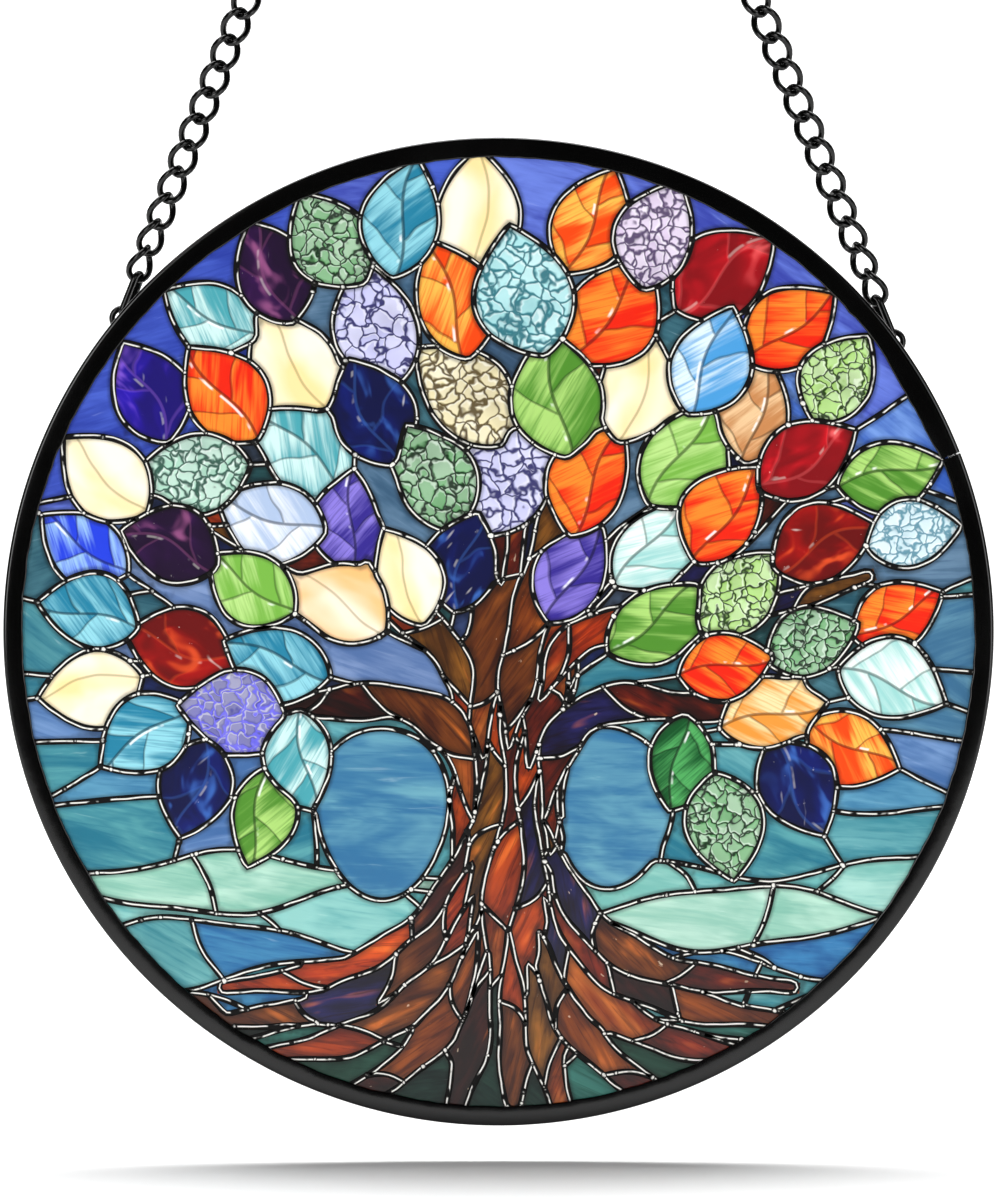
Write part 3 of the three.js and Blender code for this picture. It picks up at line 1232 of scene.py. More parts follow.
@dataclass
class Wood:
    """Trunk, roots and limbs of the tree.

    Sizes are millimetres in the picture's plane, from its middle.

    Attributes:
        rng: Source of the seeded variation.
        trunk: Height, middle and half-width of the trunk at a few levels, from the ground up.
        strands: Strands that the trunk is drawn with.
        limbs: Middle line and half-width of each limb at a few places, from the trunk out.
        roots: The same for the roots, the left ones and the middle one. The right ones are mirrored.
        weave: Length of a strand's waves.
        swing: Size of its waves, as a share of half a strand.
        lean: How far a strand moves across the trunk over a millimetre of height, in trunk halves.
        cut: Spacing of the lines across a strand.
        slant: Least and greatest slant of those lines.
        bow: How far they bend at most, in overlaps.
        end: Length at a strand's ends without such a line.
        waist: Height of the trunk's waist.
        edge_waves: Size and pace of the two waves in the trunk's own sides.
        swell: Size and pace of the waves in a limb's width.
        first_rank: Rank of the trunk, below all limbs and roots.
    """

    rng: np.random.Generator
    trunk: tuple = (
        (-90, 2, 9), (-85, 2, 14), (-78, 2, 17), (-70, 2.3, 16.5), (-60, 2.2, 14.5), (-50, 2, 12.6),
        (-38, 2, 10.8), (-27, 2, 10.8), (-18, 2.3, 11.8), (-10, 3, 13), (-4, 4, 12), (3, 5, 8),
    )
    strands: int = 5
    limbs: tuple = (
        ((-3, -26, 0.15), (-4, -10, 4.0), (-1, 6, 4.2), (2, 25, 3.6), (-5, 46, 2.8), (-12, 64, 1.6)),
        ((6, -28, 0.15), (9, -10, 4.2), (14, 5, 4.0), (26, 18, 3.2), (42, 34, 2.3), (52, 54, 1.4)),
        ((2, -24, 0.15), (4, -8, 3.8), (8, 10, 3.6), (14, 32, 3.0), (20, 56, 1.8)),
        ((-5, -38, 0.15), (-9, -21, 3.8), (-20, -14, 3.6), (-40, -14, 2.8), (-60, -8, 1.6)),
        ((9, -38, 0.15), (13, -21, 3.8), (24, -14, 3.6), (42, -15, 2.8), (62, -10, 1.6)),
        ((-6, -18, 0.15), (-10, -4, 3.6), (-24, 8, 3.0), (-44, 16, 2.3), (-66, 26, 1.3)),
        ((8, -14, 0.15), (16, -1, 3.6), (34, 3, 2.9), (56, 6, 2.2), (76, 12, 1.3)),
        ((1, 8, 0.15), (-3, 26, 3.0), (-20, 41, 2.5), (-38, 58, 1.5)),
        ((-22, 8, 0.15), (-34, 22, 2.4), (-50, 42, 1.4)),
        ((30, 4, 0.15), (46, 18, 2.4), (62, 32, 1.3)),
    )
    roots: tuple = (
        ((-5, -38, 0.15), (-13, -57, 3.2), (-29, -68, 3.2), (-57, -72, 1.0)),
        ((-5, -46, 0.15), (-14, -64, 3.4), (-33, -75, 3.2), (-58, -79, 1.0)),
        ((-5, -53, 0.15), (-13, -71, 3.4), (-29, -82, 3.2), (-50, -86, 1.0)),
        ((-4, -60, 0.15), (-10, -77, 3.4), (-22, -90, 2.8), (-32, -94, 1.0)),
        ((-2, -64, 0.15), (-5, -82, 3.2), (-9, -97, 2.0)),
        ((2, -60, 0.15), (3, -80, 3.0), (3, -97, 1.6)),
    )
    weave: float = 38.0
    swing: float = 0.62
    lean: float = 0.006
    cut: float = 19.0
    slant: Pair = (1.5, 5.0)
    bow: float = 3.5
    end: float = 4.0
    waist: float = -38.0
    edge_waves: tuple = ((0.9, 0.19), (0.5, 0.43))
    swell: Pair = (0.13, 0.28)
    first_rank: int = 10

    def build(self) -> tuple[list[Patch], list[Line]]:
        """Draws the wood.

        Returns:
            Its patches and the lines on them.
        """
        patches = []
        lines = []
        levels = self._levels()
        sides = [self._border(levels, share, 0.0) for share in (-1.0, 1.0)]
        patches.append(Patch(np.vstack([sides[0], sides[1][::-1]]), self.first_rank))
        lines += [Line(side, self.first_rank) for side in sides]
        shares = [2 * number / self.strands - 1 for number in range(-1, self.strands + 2)]
        borders = [self._border(levels, share, self.rng.uniform(0.5, 6)) for share in shares]
        lines += [Line(border, self.first_rank, True) for border in borders]
        for left, right in zip(borders, borders[1:]):
            lines += self._cuts(left, right, self.first_rank)
        rank = self.first_rank
        axis = self.trunk[0][1]
        mirrored = [[(2 * axis - x, y, half) for x, y, half in root] for root in self.roots[-2::-1]]
        for knots in [*self.roots, *mirrored, *self.limbs]:
            rank += 1
            left, right = self._ribbon(knots)
            patches.append(Patch(np.vstack([left, right[::-1]]), rank))
            lines.append(Line(np.vstack([left, right[::-1], left[:1]]), rank))
            lines += self._cuts(left, right, rank)
        return patches, lines

    def _levels(self) -> Array:
        """Gives height, middle and half-width all along the trunk."""
        heights = np.arange(self.trunk[0][0], self.trunk[-1][0], LINE_STEP)
        curve = smooth_path(self.trunk, LINE_STEP / 4)
        return np.stack([heights] + [np.interp(heights, curve[:, 0], curve[:, k]) for k in (1, 2)], axis=1)

    def _border(self, levels: Array, share: float, phase: float) -> Array:
        """Draws the wavy border between two strands of the trunk.

        Args:
            levels: Height, middle and half-width along the trunk.
            share: Place across the trunk at its waist, from minus one to one.
            phase: Phase of its waves, 0 for the trunk's own sides.

        Returns:
            Its points.
        """
        height, middle, half = levels.T
        if phase == 0.0:
            (size, pace), (small, fast) = self.edge_waves
            sway = size * np.sin(height * pace + share) + small * np.sin(height * fast)
            return np.stack([middle + half * share + sway, height], axis=1)
        place = share + self.lean * (height - self.waist)
        wave = np.sin(height * 2 * math.pi / self.weave + phase)
        return np.stack([middle + half * (place + wave * self.swing / self.strands), height], axis=1)

    def _ribbon(self, knots: Sequence[Sequence[float]]) -> tuple[Array, ...]:
        """Draws both sides of a limb or root.

        Args:
            knots: Place and half-width at a few places.

        Returns:
            Left and right side.
        """
        path = smooth_path(knots, LINE_STEP)
        along = np.gradient(path[:, :2], axis=0)
        along /= np.hypot(*along.T)[:, None]
        normal = np.stack([-along[:, 1], along[:, 0]], axis=1)
        size, pace = self.swell
        swell = 1 + size * np.sin(np.arange(len(path)) * pace + self.rng.uniform(0, 6))
        offset = normal * (path[:, 2] * swell)[:, None]
        return path[:, :2] + offset, path[:, :2] - offset

    def _cuts(self, left: Array, right: Array, rank: int) -> list[Line]:
        """Draws the slanting lines across a strand.

        Args:
            left: The strand's left side.
            right: Its right side.
            rank: Rank of the lines.

        Returns:
            The lines.
        """
        travelled = np.concatenate([[0], np.cumsum(np.hypot(*np.diff((left + right) / 2, axis=0).T))])
        lines = []
        place = self.rng.uniform(self.end, self.cut)
        while place < travelled[-1] - self.end:
            slant = self.rng.choice((-1, 1)) * self.rng.uniform(*self.slant)
            start = left[np.searchsorted(travelled, max(0.0, place - slant))]
            stop = right[min(len(right) - 1, int(np.searchsorted(travelled, place + slant)))]
            over = (stop - start) / np.hypot(*(stop - start)) * OVERLAP
            across = np.array([-over[1], over[0]]) * self.rng.uniform(-self.bow, self.bow)
            knots = [start - over, (start + stop) / 2 + across, stop + over]
            lines.append(Line(smooth_path(knots, LINE_STEP), rank, True))
            place += self.rng.uniform(0.75, 1.3) * self.cut
        return lines


@dataclass
class Backdrop:
    """Lead lines of the sky, water and ground.

    Sizes are millimetres in the picture's plane, from its middle.

    Attributes:
        rng: Source of the seeded variation.
        levels: Height and wave of the lines that run from side to side.
        wave: Length of their waves.
        side_levels: Height of each short line in from the rim, and the half-width that it ends at.
        windows: Middle and half-sizes of the two round panes under the side branches.
        crossings: Spacing of the lines between two levels.
        lean: Least and greatest slant of those lines.
        first: Least and greatest distance of the first of them from the disc's edge.
        wobble: How far a side line leaves its level.
        tip_reach: How far a line goes on from a leaf's tip or base at most.
        curl: How much it turns at each step at most, in radians.
        radius: Radius that the lines run out to.
    """

    rng: np.random.Generator
    levels: tuple = ((-47, 2.6), (-54, 3.0), (-61, 3.4), (-68.5, 3.4), (-76, 3.4), (-83, 3.0))
    wave: float = 72.0
    side_levels: tuple = ((26, 62), (8, 62), (-8, 62), (-22, 34), (-35, 34))
    windows: tuple = ((-23.5, -36, 13.5, 17.5), (23, -35, 12, 16.5))
    crossings: float = 36.0
    lean: Pair = (3.0, 8.0)
    first: Pair = (4.0, 14.0)
    wobble: float = 3.5
    tip_reach: float = 30.0
    curl: float = 0.02
    radius: float = 98.0

    def build(self, leaves: list[Patch], wood: list[Patch]) -> list[Line]:
        """Draws the lines.

        Args:
            leaves: The leaves.
            wood: The wood.

        Returns:
            The lines.
        """
        lines = [line for leaf in leaves for line in self._leaf_lines(leaf, leaves, wood)]
        levels = [self._level(*level, number * (math.pi + 0.35)) for number, level in enumerate(self.levels)]
        lines += [Line(level, 0) for level in levels]
        for number, (upper, lower) in enumerate(zip(levels, levels[1:])):
            lines += self._crossing_lines(upper, lower, number)
        for side in (-1, 1):
            for height, inner in self.side_levels:
                lines.append(self._side_line(side, height, inner))
        return lines

    def panes(self) -> list[Patch]:
        """Draws the two round panes under the side branches.

        Returns:
            The panes.
        """
        panes = []
        for number, (x, y, wide, high) in enumerate(self.windows):
            angles = np.arange(0, 2 * math.pi, 0.06)
            swell = 1 + 0.04 * np.sin(angles * 3 + number)
            corners = [x + wide * swell * np.cos(angles), y + high * swell * np.sin(angles)]
            outline = np.stack(corners, axis=1)
            panes.append(Patch(outline, 5 + number, "window", (x, y), 0.12, 24.0))
        return panes

    def _level(self, height: float, sway: float, phase: float) -> Array:
        """Draws a wavy line from side to side."""
        x = np.arange(-self.radius, self.radius, LINE_STEP)
        turn = x * 2 * math.pi / self.wave + phase
        return np.stack([x, height + sway * np.sin(turn) + 0.25 * sway * np.sin(turn * 2.3)], axis=1)

    def _crossing_lines(self, upper: Array, lower: Array, number: int) -> list[Line]:
        """Draws the slanting lines between two levels.

        Args:
            upper: The upper level.
            lower: The lower level.
            number: Which pair it is.

        Returns:
            The lines.
        """
        lines = []
        least, greatest = self.first
        place = -self.radius + self.rng.uniform(least, greatest) + number % 2 * (greatest - least)
        while place < self.radius - 6:
            lean = self.rng.choice((-1, 1)) * self.rng.uniform(*self.lean)
            start = upper[np.argmin(abs(upper[:, 0] - place))]
            stop = lower[np.argmin(abs(lower[:, 0] - place - lean))]
            over = (stop - start) / np.hypot(*(stop - start)) * OVERLAP
            middle = (start + stop) / 2 + (self.rng.uniform(-1.6, 1.6), 0)
            lines.append(Line(smooth_path([start - over, middle, stop + over], LINE_STEP), 0))
            place += self.rng.uniform(0.7, 1.25) * self.crossings
        return lines

    def _side_line(self, side: int, height: float, inner: float) -> Line:
        """Draws a short wavy line in from the rim.

        Args:
            side: Minus one for left, one for right.
            height: Its height.
            inner: Half-width that it ends at.

        Returns:
            The line.
        """
        outer = math.sqrt(self.radius ** 2 - height ** 2)
        knots = [(side * outer, height)]
        for share in (0.35, 0.7, 1.0):
            wobbled = height + self.rng.uniform(-self.wobble, self.wobble)
            knots.append((side * (outer + (inner - outer) * share), wobbled))
        return Line(smooth_path(knots, LINE_STEP), 0)

    def _leaf_lines(self, leaf: Patch, leaves: list[Patch], wood: list[Patch]) -> list[Line]:
        """Draws the lines that go on from a leaf's two ends until they meet something.

        Args:
            leaf: The leaf.
            leaves: All leaves.
            wood: The wood.

        Returns:
            The lines.
        """
        lines = []
        for end in (1, -1):
            heading = leaf.heading + (0 if end > 0 else math.pi)
            reach = leaf.length * 0.49
            start = np.array(leaf.middle) + (reach * math.cos(heading), reach * math.sin(heading))
            curl = self.rng.uniform(-self.curl, self.curl)
            steps = np.arange(int(self.tip_reach / LINE_STEP))
            headings = heading + curl * steps
            moves = LINE_STEP * np.stack([np.cos(headings), np.sin(headings)], axis=1)
            path = start + np.cumsum(moves, axis=0)
            stops = (np.hypot(*path.T) > self.radius - 1) | (path[:, 1] < self.levels[0][0])
            for other in leaves + wood:
                if other is not leaf:
                    stops |= inside(path, other.outline)
            if not stops.any():
                continue
            last = int(np.argmax(stops))
            if last >= 2:
                lines.append(Line(np.vstack([start, path[:last + 2]]), 0))
        return lines


@dataclass
class Cell:
    """One cell of the picture between its lead lines.

    Attributes:
        triangles: Numbers of its triangles.
        rank: Rank of the patch that it belongs to, 0 for the background.
        area: Its area.
        middle: Its middle.
    """

    triangles: Array
    rank: int
    area: float
    middle: Array


class Sets:
    """Numbered items in sets that can be joined."""

    def __init__(self, count: int) -> None:
        """Starts with each item in a set of its own."""
        self.parent = list(range(count))

    def find(self, item: int) -> int:
        """Finds the item that stands for a set."""
        while self.parent[item] != item:
            self.parent[item] = self.parent[self.parent[item]]
            item = self.parent[item]
        return item

    def join(self, one: int, other: int) -> None:
        """Joins two sets. The item of the second one then stands for both."""
        self.parent[self.find(one)] = self.find(other)

    def roots(self) -> Array:
        """Gives the item that stands for the set of each item."""
        return np.array([self.find(item) for item in range(len(self.parent))])


class Leading:
    """Cuts the round picture into cells along its lead lines.

    Attributes:
        GRID: Spacing of the triangles' corners.
        ROW: Spacing of the grid's rows over that.
        CLEARANCE: Distance from the grid to the drawing.
        SMALLEST: Area of the smallest cell that stays.
        THINNEST: Thickness of the thinnest small cell that stays.
        SMALL: Area below which a cell counts as small.
        MERGES: Rounds of joining.
        RIM_POINTS: Corners of the print's edge.
    """

    GRID = 1.35
    ROW = 0.866
    CLEARANCE = 0.7
    SMALLEST = 2.4
    THINNEST = 0.75
    SMALL = 12
    MERGES = 4
    RIM_POINTS = 720

    def __init__(self, patches: list[Patch], lines: list[Line], radius: float) -> None:
        """Triangulates the picture and finds its cells.

        Args:
            patches: The closed shapes.
            lines: The lead lines.
            radius: Radius of the print.
        """
        self.patches = sorted(patches, key=lambda patch: patch.rank)
        self.radius = radius
        points, edges, owners = self._drawing(lines)
        grid = self._grid(points)
        given = [Vector(point) for point in np.vstack([points, grid]).tolist()]
        result = delaunay_2d_cdt(given, edges, [], 0, 0.0005, True)
        self.points = np.array([tuple(point) for point in result[0]])
        triangles = np.array(result[2])
        centres = self.points[triangles].mean(axis=1)
        self.triangles = triangles[np.hypot(*centres.T) < radius]
        self._edges(result[1], result[4], owners)
        self._cells()

    def _drawing(self, lines: list[Line]) -> tuple[Array, list, list]:
        """Collects all outlines and lines.

        Args:
            lines: The lead lines.

        Returns:
            Points, edges, and each edge's rank (-1 for the print's edge) and whether it only shows inside.
        """
        angles = np.arange(self.RIM_POINTS) * 2 * math.pi / self.RIM_POINTS
        rim = self.radius * np.stack([np.cos(angles), np.sin(angles)], axis=1)
        loops = [(rim, -1, True, False)]
        loops += [(patch.outline, patch.rank, True, False) for patch in self.patches if patch.tint]
        loops += [(line.points, line.rank, False, line.inner) for line in lines]
        points, edges, owners = [], [], []
        total = 0
        for path, rank, closed, inner in loops:
            count = len(path)
            for step in range(count if closed else count - 1):
                start, stop = path[step], path[(step + 1) % count]
                if rank >= 0 and max(np.hypot(*start), np.hypot(*stop)) > self.radius + 1:
                    continue
                edges.append((total + step, total + (step + 1) % count))
                owners.append((rank, inner))
            points.append(path)
            total += count
        return np.vstack(points), edges, owners

    def _grid(self, points: Array) -> Array:
        """Lays an even grid that keeps clear of the drawing's points.

        Args:
            points: Those points.

        Returns:
            The grid's points.
        """
        rows = int(self.radius / (self.GRID * self.ROW)) + 1
        columns = int(self.radius / self.GRID) + 1
        row, column = np.mgrid[-rows:rows + 1, -columns:columns + 1]
        x = (column + row % 2 / 2) * self.GRID
        y = row * self.GRID * self.ROW
        grid = np.stack([x.ravel(), y.ravel()], axis=1)
        grid = grid[np.hypot(*grid.T) < self.radius - self.CLEARANCE]
        return grid[distances(grid, points) > self.CLEARANCE]

    def _top_ranks(self, points: Array) -> Array:
        """Gives the rank of the uppermost patch at each point."""
        top = np.zeros(len(points), int)
        for patch in self.patches:
            top[inside(points, patch.outline)] = patch.rank
        return top

    def _edges(self, edges: Sequence, origins: Sequence, owners: Sequence) -> None:
        """Finds the drawn edges that aren't covered by a higher patch.

        Args:
            edges: All edges.
            origins: Drawn edges that each comes from.
            owners: Rank of each drawn edge and whether it only shows inside.
        """
        drawn = [k for k in range(len(edges)) if origins[k]]
        ends = np.array([edges[k] for k in drawn])
        middles = self.points[ends].mean(axis=1)
        tops = self._top_ranks(middles)
        self.walls: set[tuple[int, int]] = set()
        for number, index in enumerate(drawn):
            for rank, inner in (owners[origin] for origin in origins[index] if origin < len(owners)):
                if rank >= 0 and (rank == tops[number] or (rank > tops[number] and not inner)):
                    self.walls.add(tuple(sorted(edges[index])))

    def _cells(self) -> None:
        """Floods the triangles between the walls, joins slivers to neighbours and lists cells and leads."""
        corners = self.points[self.triangles]
        one, two = corners[:, 1] - corners[:, 0], corners[:, 2] - corners[:, 0]
        areas = abs(one[:, 0] * two[:, 1] - one[:, 1] * two[:, 0]) / 2
        sides: dict[tuple[int, int], list[int]] = {}
        for index, triangle in enumerate(self.triangles.tolist()):
            for step in range(3):
                key = tuple(sorted((triangle[step], triangle[(step + 1) % 3])))
                sides.setdefault(key, []).append(index)
        sets = Sets(len(self.triangles))
        for key, pair in sides.items():
            if len(pair) == 2 and key not in self.walls:
                sets.join(*pair)
        borders = {key: sides[key] for key in self.walls if len(sides.get(key, [])) == 2}
        for _ in range(self.MERGES):
            self._join_slivers(sets, areas, borders)
        labels = np.unique(sets.roots(), return_inverse=True)[1]
        self.cells = self._listed(labels, areas, corners.mean(axis=1))
        self.leads = [key for key, (one, other) in sorted(borders.items()) if labels[one] != labels[other]]
        LOG.info("cells: %d, lead edges: %d", len(self.cells), len(self.leads))

    def _join_slivers(self, sets: Sets, areas: Array, borders: dict) -> None:
        """Joins each sliver to the neighbour that it has the longest border with.

        Args:
            sets: The triangles of each cell.
            areas: The triangles' areas.
            borders: The two triangles at each wall.
        """
        roots = sets.roots()
        sizes = np.bincount(roots, weights=areas, minlength=len(roots))
        shared: dict[int, dict[int, float]] = {}
        for (start, stop), pair in borders.items():
            one, other = roots[pair].tolist()
            if one == other:
                continue
            length = float(np.hypot(*(self.points[start] - self.points[stop])))
            for own, beside in ((one, other), (other, one)):
                row = shared.setdefault(own, {})
                row[beside] = row.get(beside, 0.0) + length
        for own, row in sorted(shared.items(), key=lambda item: sizes[item[0]]):
            thin = 2 * sizes[own] / sum(row.values()) < self.THINNEST
            if sizes[own] < self.SMALLEST or (thin and sizes[own] < self.SMALL):
                sets.join(own, max(row, key=row.get))

    def _listed(self, labels: Array, areas: Array, centres: Array) -> list[Cell]:
        """Lists the cells.

        Args:
            labels: The number of each triangle's cell.
            areas: The triangles' areas.
            centres: Their middles.

        Returns:
            The cells in order.
        """
        tops = self._top_ranks(centres)
        cells = []
        for number in range(labels.max() + 1):
            own = np.nonzero(labels == number)[0]
            weights = areas[own]
            area = float(weights.sum())
            middle = (centres[own] * weights[:, None]).sum(axis=0) / area
            rank = int(np.bincount(tops[own], weights=weights).argmax())
            cells.append(Cell(own, rank, area, middle))
        return cells

    def paths(self) -> tuple[list[Array], Array]:
        """Strings the lead edges together.

        Returns:
            The paths and their junctions.
        """
        links: dict[int, list[int]] = {}
        for start, stop in self.leads:
            links.setdefault(start, []).append(stop)
            links.setdefault(stop, []).append(start)
        joints = [point for point, others in sorted(links.items()) if len(others) != 2]
        used: set[tuple[int, int]] = set()
        paths = []
        for joint in joints + sorted(links):
            for other in links[joint]:
                if tuple(sorted((joint, other))) in used:
                    continue
                path = [joint, other]
                used.add(tuple(sorted((joint, other))))
                while len(links[path[-1]]) == 2:
                    last = path[-1]
                    ahead = [point for point in links[last] if tuple(sorted((point, last))) not in used]
                    if not ahead:
                        break
                    used.add(tuple(sorted((ahead[0], last))))
                    path.append(ahead[0])
                paths.append(self._eased(self.points[path]))
        return paths, self.points[[joint for joint in joints if len(links[joint]) > 2]]

    @staticmethod
    def _eased(path: Array) -> Array:
        """Takes the small kinks out of a path and keeps its ends."""
        eased = path.copy()
        for _ in range(3):
            eased[1:-1] = eased[1:-1] * 0.5 + (eased[:-2] + eased[2:]) * 0.25
        return eased


@dataclass
class Picture:
    """The print on the front of the disc.

    Sizes are in millimetres, where nothing else is said.

    Attributes:
        seed: Seed of everything that varies.
        radius: Radius of the print.
        thickness: Thickness of the ink film.
        lift: Gap between the acrylic and the film.
        lead_width: Width of a lead line.
        lead_height: Height of a lead line.
        lead_step: Spacing of the sections along a lead line.
        wander: How much its width varies, as a share of it.
        bead: Width of a solder bead.
        bead_rise: Its height over a lead line's.
        lumps: Share of the points along a lead line that carry a bead.
        bands: Height that each set of tints reaches up to, from the ground up.
        gap_radius: Radius within which small cells are gaps between leaves.
        gap_areas: Greatest area of a dark and of a lighter gap.
        high: Least height and radius of the high sky.
        curved: Least height and radius of sky with its grain along the rim.
        slate_height: Height above which the rest of the sky is slate.
        grain_length: Length that the grain of sky and bark is drawn by.
        grain_tilt: Greatest tilt of the sky's grain, in radians.
    """

    seed: int = 7
    radius: float = 97.4
    thickness: float = 0.08
    lift: float = 0.01
    lead_width: float = 1.25
    lead_height: float = 0.1
    lead_step: float = 1.0
    wander: float = 0.4
    bead: float = 1.6
    bead_rise: float = 1.4
    lumps: float = 0.03
    bands: tuple = ((-80, "ground"), (-60, "water"), (-46, "shallows"), (-18, "haze"))
    gap_radius: float = 74.0
    gap_areas: Pair = (26.0, 70.0)
    high: Pair = (20.0, 76.0)
    curved: Pair = (25.0, 60.0)
    slate_height: float = 12.0
    grain_length: float = 20.0
    grain_tilt: float = 0.5

    def build(self) -> None:
        """Lays the picture out and makes its pieces."""
        self.rng = np.random.default_rng(self.seed)
        low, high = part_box("acrylic_disc")
        middle = (low[2] + high[2]) / 2
        place = Matrix.Translation((0, low[1] - self.lift * MM, middle))
        self.place = place @ Matrix.Rotation(math.pi / 2, 4, "X") @ Matrix.Scale(MM, 4)
        leaves = Crown(self.rng).build()
        wood, wood_lines = Wood(self.rng).build()
        backdrop = Backdrop(self.rng)
        panes = backdrop.panes()
        sky_lines = backdrop.build(leaves, wood)
        self.leading = Leading(leaves + panes + wood, wood_lines + sky_lines, self.radius)
        self.shapes = {shape.rank: shape for shape in leaves + panes}
        self._film()
        self._leads()

    def _cell_tint(self, cell: Cell) -> tuple[Glass, Colour, Colour]:
        """Picks what a cell is printed with.

        Args:
            cell: The cell.

        Returns:
            Its glass, body colour and vein colour.
        """
        pick = int(self.rng.integers(0, 1000))
        if cell.rank in self.shapes:
            tint = LEAF_TINTS[self.shapes[cell.rank].tint]
        elif cell.rank:
            tint = BARK_TINTS[pick % len(BARK_TINTS)]
        else:
            codes = SKY_TINTS[self._sky_zone(cell)]
            first = pick % (len(codes) // 2) * 2
            tint = Tint(Glass.SKY, codes[first], codes[first + 1])
        return tint.glass, tone(tint.body), tone(tint.vein)

    def _sky_zone(self, cell: Cell) -> str:
        """Finds the part of the sky that a cell is in.

        Args:
            cell: The cell.

        Returns:
            Name of a set of sky tints.
        """
        x, y = cell.middle
        for top, name in self.bands:
            if y < top:
                return name
        radial = math.hypot(x, y)
        dark, light = self.gap_areas
        if radial < self.gap_radius and cell.area < light:
            return "dusk" if cell.area < dark else "slate"
        if y > self.high[0] and radial > self.high[1]:
            return "high sky"
        return "slate" if y > self.slate_height else "side sky"

    def _film(self) -> None:
        """Makes one thin plate of ink a cell, joined to one piece for each glass."""
        net = self.leading
        ends = net.points[np.array(net.leads)]
        edge = distances(net.points, np.vstack([ends[:, 0], ends[:, 1], ends.mean(axis=1)]))
        sheets: dict[Glass, list] = {glass: [] for glass in Glass}
        for cell in net.cells:
            glass, body, vein = self._cell_tint(cell)
            sheets[glass].append(self._plate(cell, edge, body, vein, float(self.rng.uniform())))
        for glass, plates in sheets.items():
            if plates:
                self._film_piece(f"picture_{glass.value}_glass", plates, GLASS_FINISHES[glass].material())

    def _plate(
        self, cell: Cell, edge: Array, body: Colour, vein: Colour, seed: float
    ) -> dict[str, Array]:
        """Makes the closed thin plate of one cell.

        Args:
            cell: The cell.
            edge: Distance of each point from the nearest lead.
            body: Body colour.
            vein: Vein colour.
            seed: The cell's own number.

        Returns:
            Its points, faces and attributes.
        """
        net = self.leading
        used, local = np.unique(net.triangles[cell.triangles], return_inverse=True)
        local = local.reshape(-1, 3)
        flat = net.points[used]
        middle, heading, length = self._grain_frame(cell, flat)
        cosine, sine = math.cos(heading), math.sin(heading)
        grain = (flat - middle) / length @ np.array([[cosine, -sine], [sine, cosine]])
        sides = np.concatenate([local[:, [0, 1]], local[:, [1, 2]], local[:, [2, 0]]])
        keys = np.sort(sides, axis=1)
        _, first, counts = np.unique(keys, axis=0, return_index=True, return_counts=True)
        border = sides[first[counts == 1]]
        count = len(used)
        back = np.column_stack([flat, np.zeros(count)])
        front = np.column_stack([flat, np.full(count, self.thickness)])
        start, stop = border.T
        lower = np.column_stack([start + count, start, stop])
        upper = np.column_stack([stop + count, start + count, stop])
        faces = np.vstack([local[:, ::-1], local + count, lower, upper])
        return {
            "points": np.vstack([back, front]),
            "faces": faces,
            "grain": np.vstack([grain, grain]),
            "edge": np.tile(edge[used], 2),
            "seed": np.full(2 * count, seed),
            "body": np.tile(body, (2 * count, 1)),
            "vein": np.tile(vein, (2 * count, 1)),
        }

    def _grain_frame(self, cell: Cell, flat: Array) -> tuple[Array, float, float]:
        """Finds how a cell's grain lies.

        Args:
            cell: The cell.
            flat: Its points.

        Returns:
            The middle, direction and length that the grain is drawn by.
        """
        if cell.rank in self.shapes:
            leaf = self.shapes[cell.rank]
            return np.array(leaf.middle), leaf.heading, leaf.length
        spread = np.cov((flat - cell.middle).T)
        axis = np.linalg.eigh(spread)[1][:, 1]
        heading = math.atan2(axis[1], axis[0])
        height, radius = self.curved
        if cell.rank == 0 and cell.middle[1] > height and np.hypot(*cell.middle) > radius:
            heading = math.atan2(cell.middle[1], cell.middle[0]) - math.pi / 2
        heading = (heading + math.pi / 2) % math.pi - math.pi / 2
        if cell.rank == 0:
            heading = max(-self.grain_tilt, min(self.grain_tilt, heading / 2))
        return cell.middle, heading, self.grain_length

    def _film_piece(self, name: str, plates: list[dict[str, Array]], material: Material) -> None:
        """Joins plates to one piece.

        Args:
            name: The piece's name.
            plates: Its plates.
            material: Its finish.
        """
        offset = 0
        faces = []
        for plate in plates:
            faces.append(plate["faces"] + offset)
            offset += len(plate["points"])
        joined = {key: np.concatenate([plate[key] for plate in plates]) for key in plates[0]}
        piece = mesh_object(name, joined["points"], np.vstack(faces).tolist())
        mesh = piece.data
        for key in ("edge", "seed"):
            layer = mesh.attributes.new(key, "FLOAT", "POINT")
            layer.data.foreach_set("value", joined[key].astype(np.float32))
        for key in ("body", "vein"):
            layer = mesh.attributes.new(key, "FLOAT_COLOR", "POINT")
            layer.data.foreach_set("color", joined[key].astype(np.float32).ravel())
        corners = np.zeros(len(mesh.loops), np.int32)
        mesh.loops.foreach_get("vertex_index", corners)
        uv = mesh.uv_layers.new(name="grain")
        uv.data.foreach_set("uv", joined["grain"][corners].astype(np.float32).ravel())
        mesh.materials.append(material)
        mesh.transform(self.place)
        settle(piece, smooth=False)

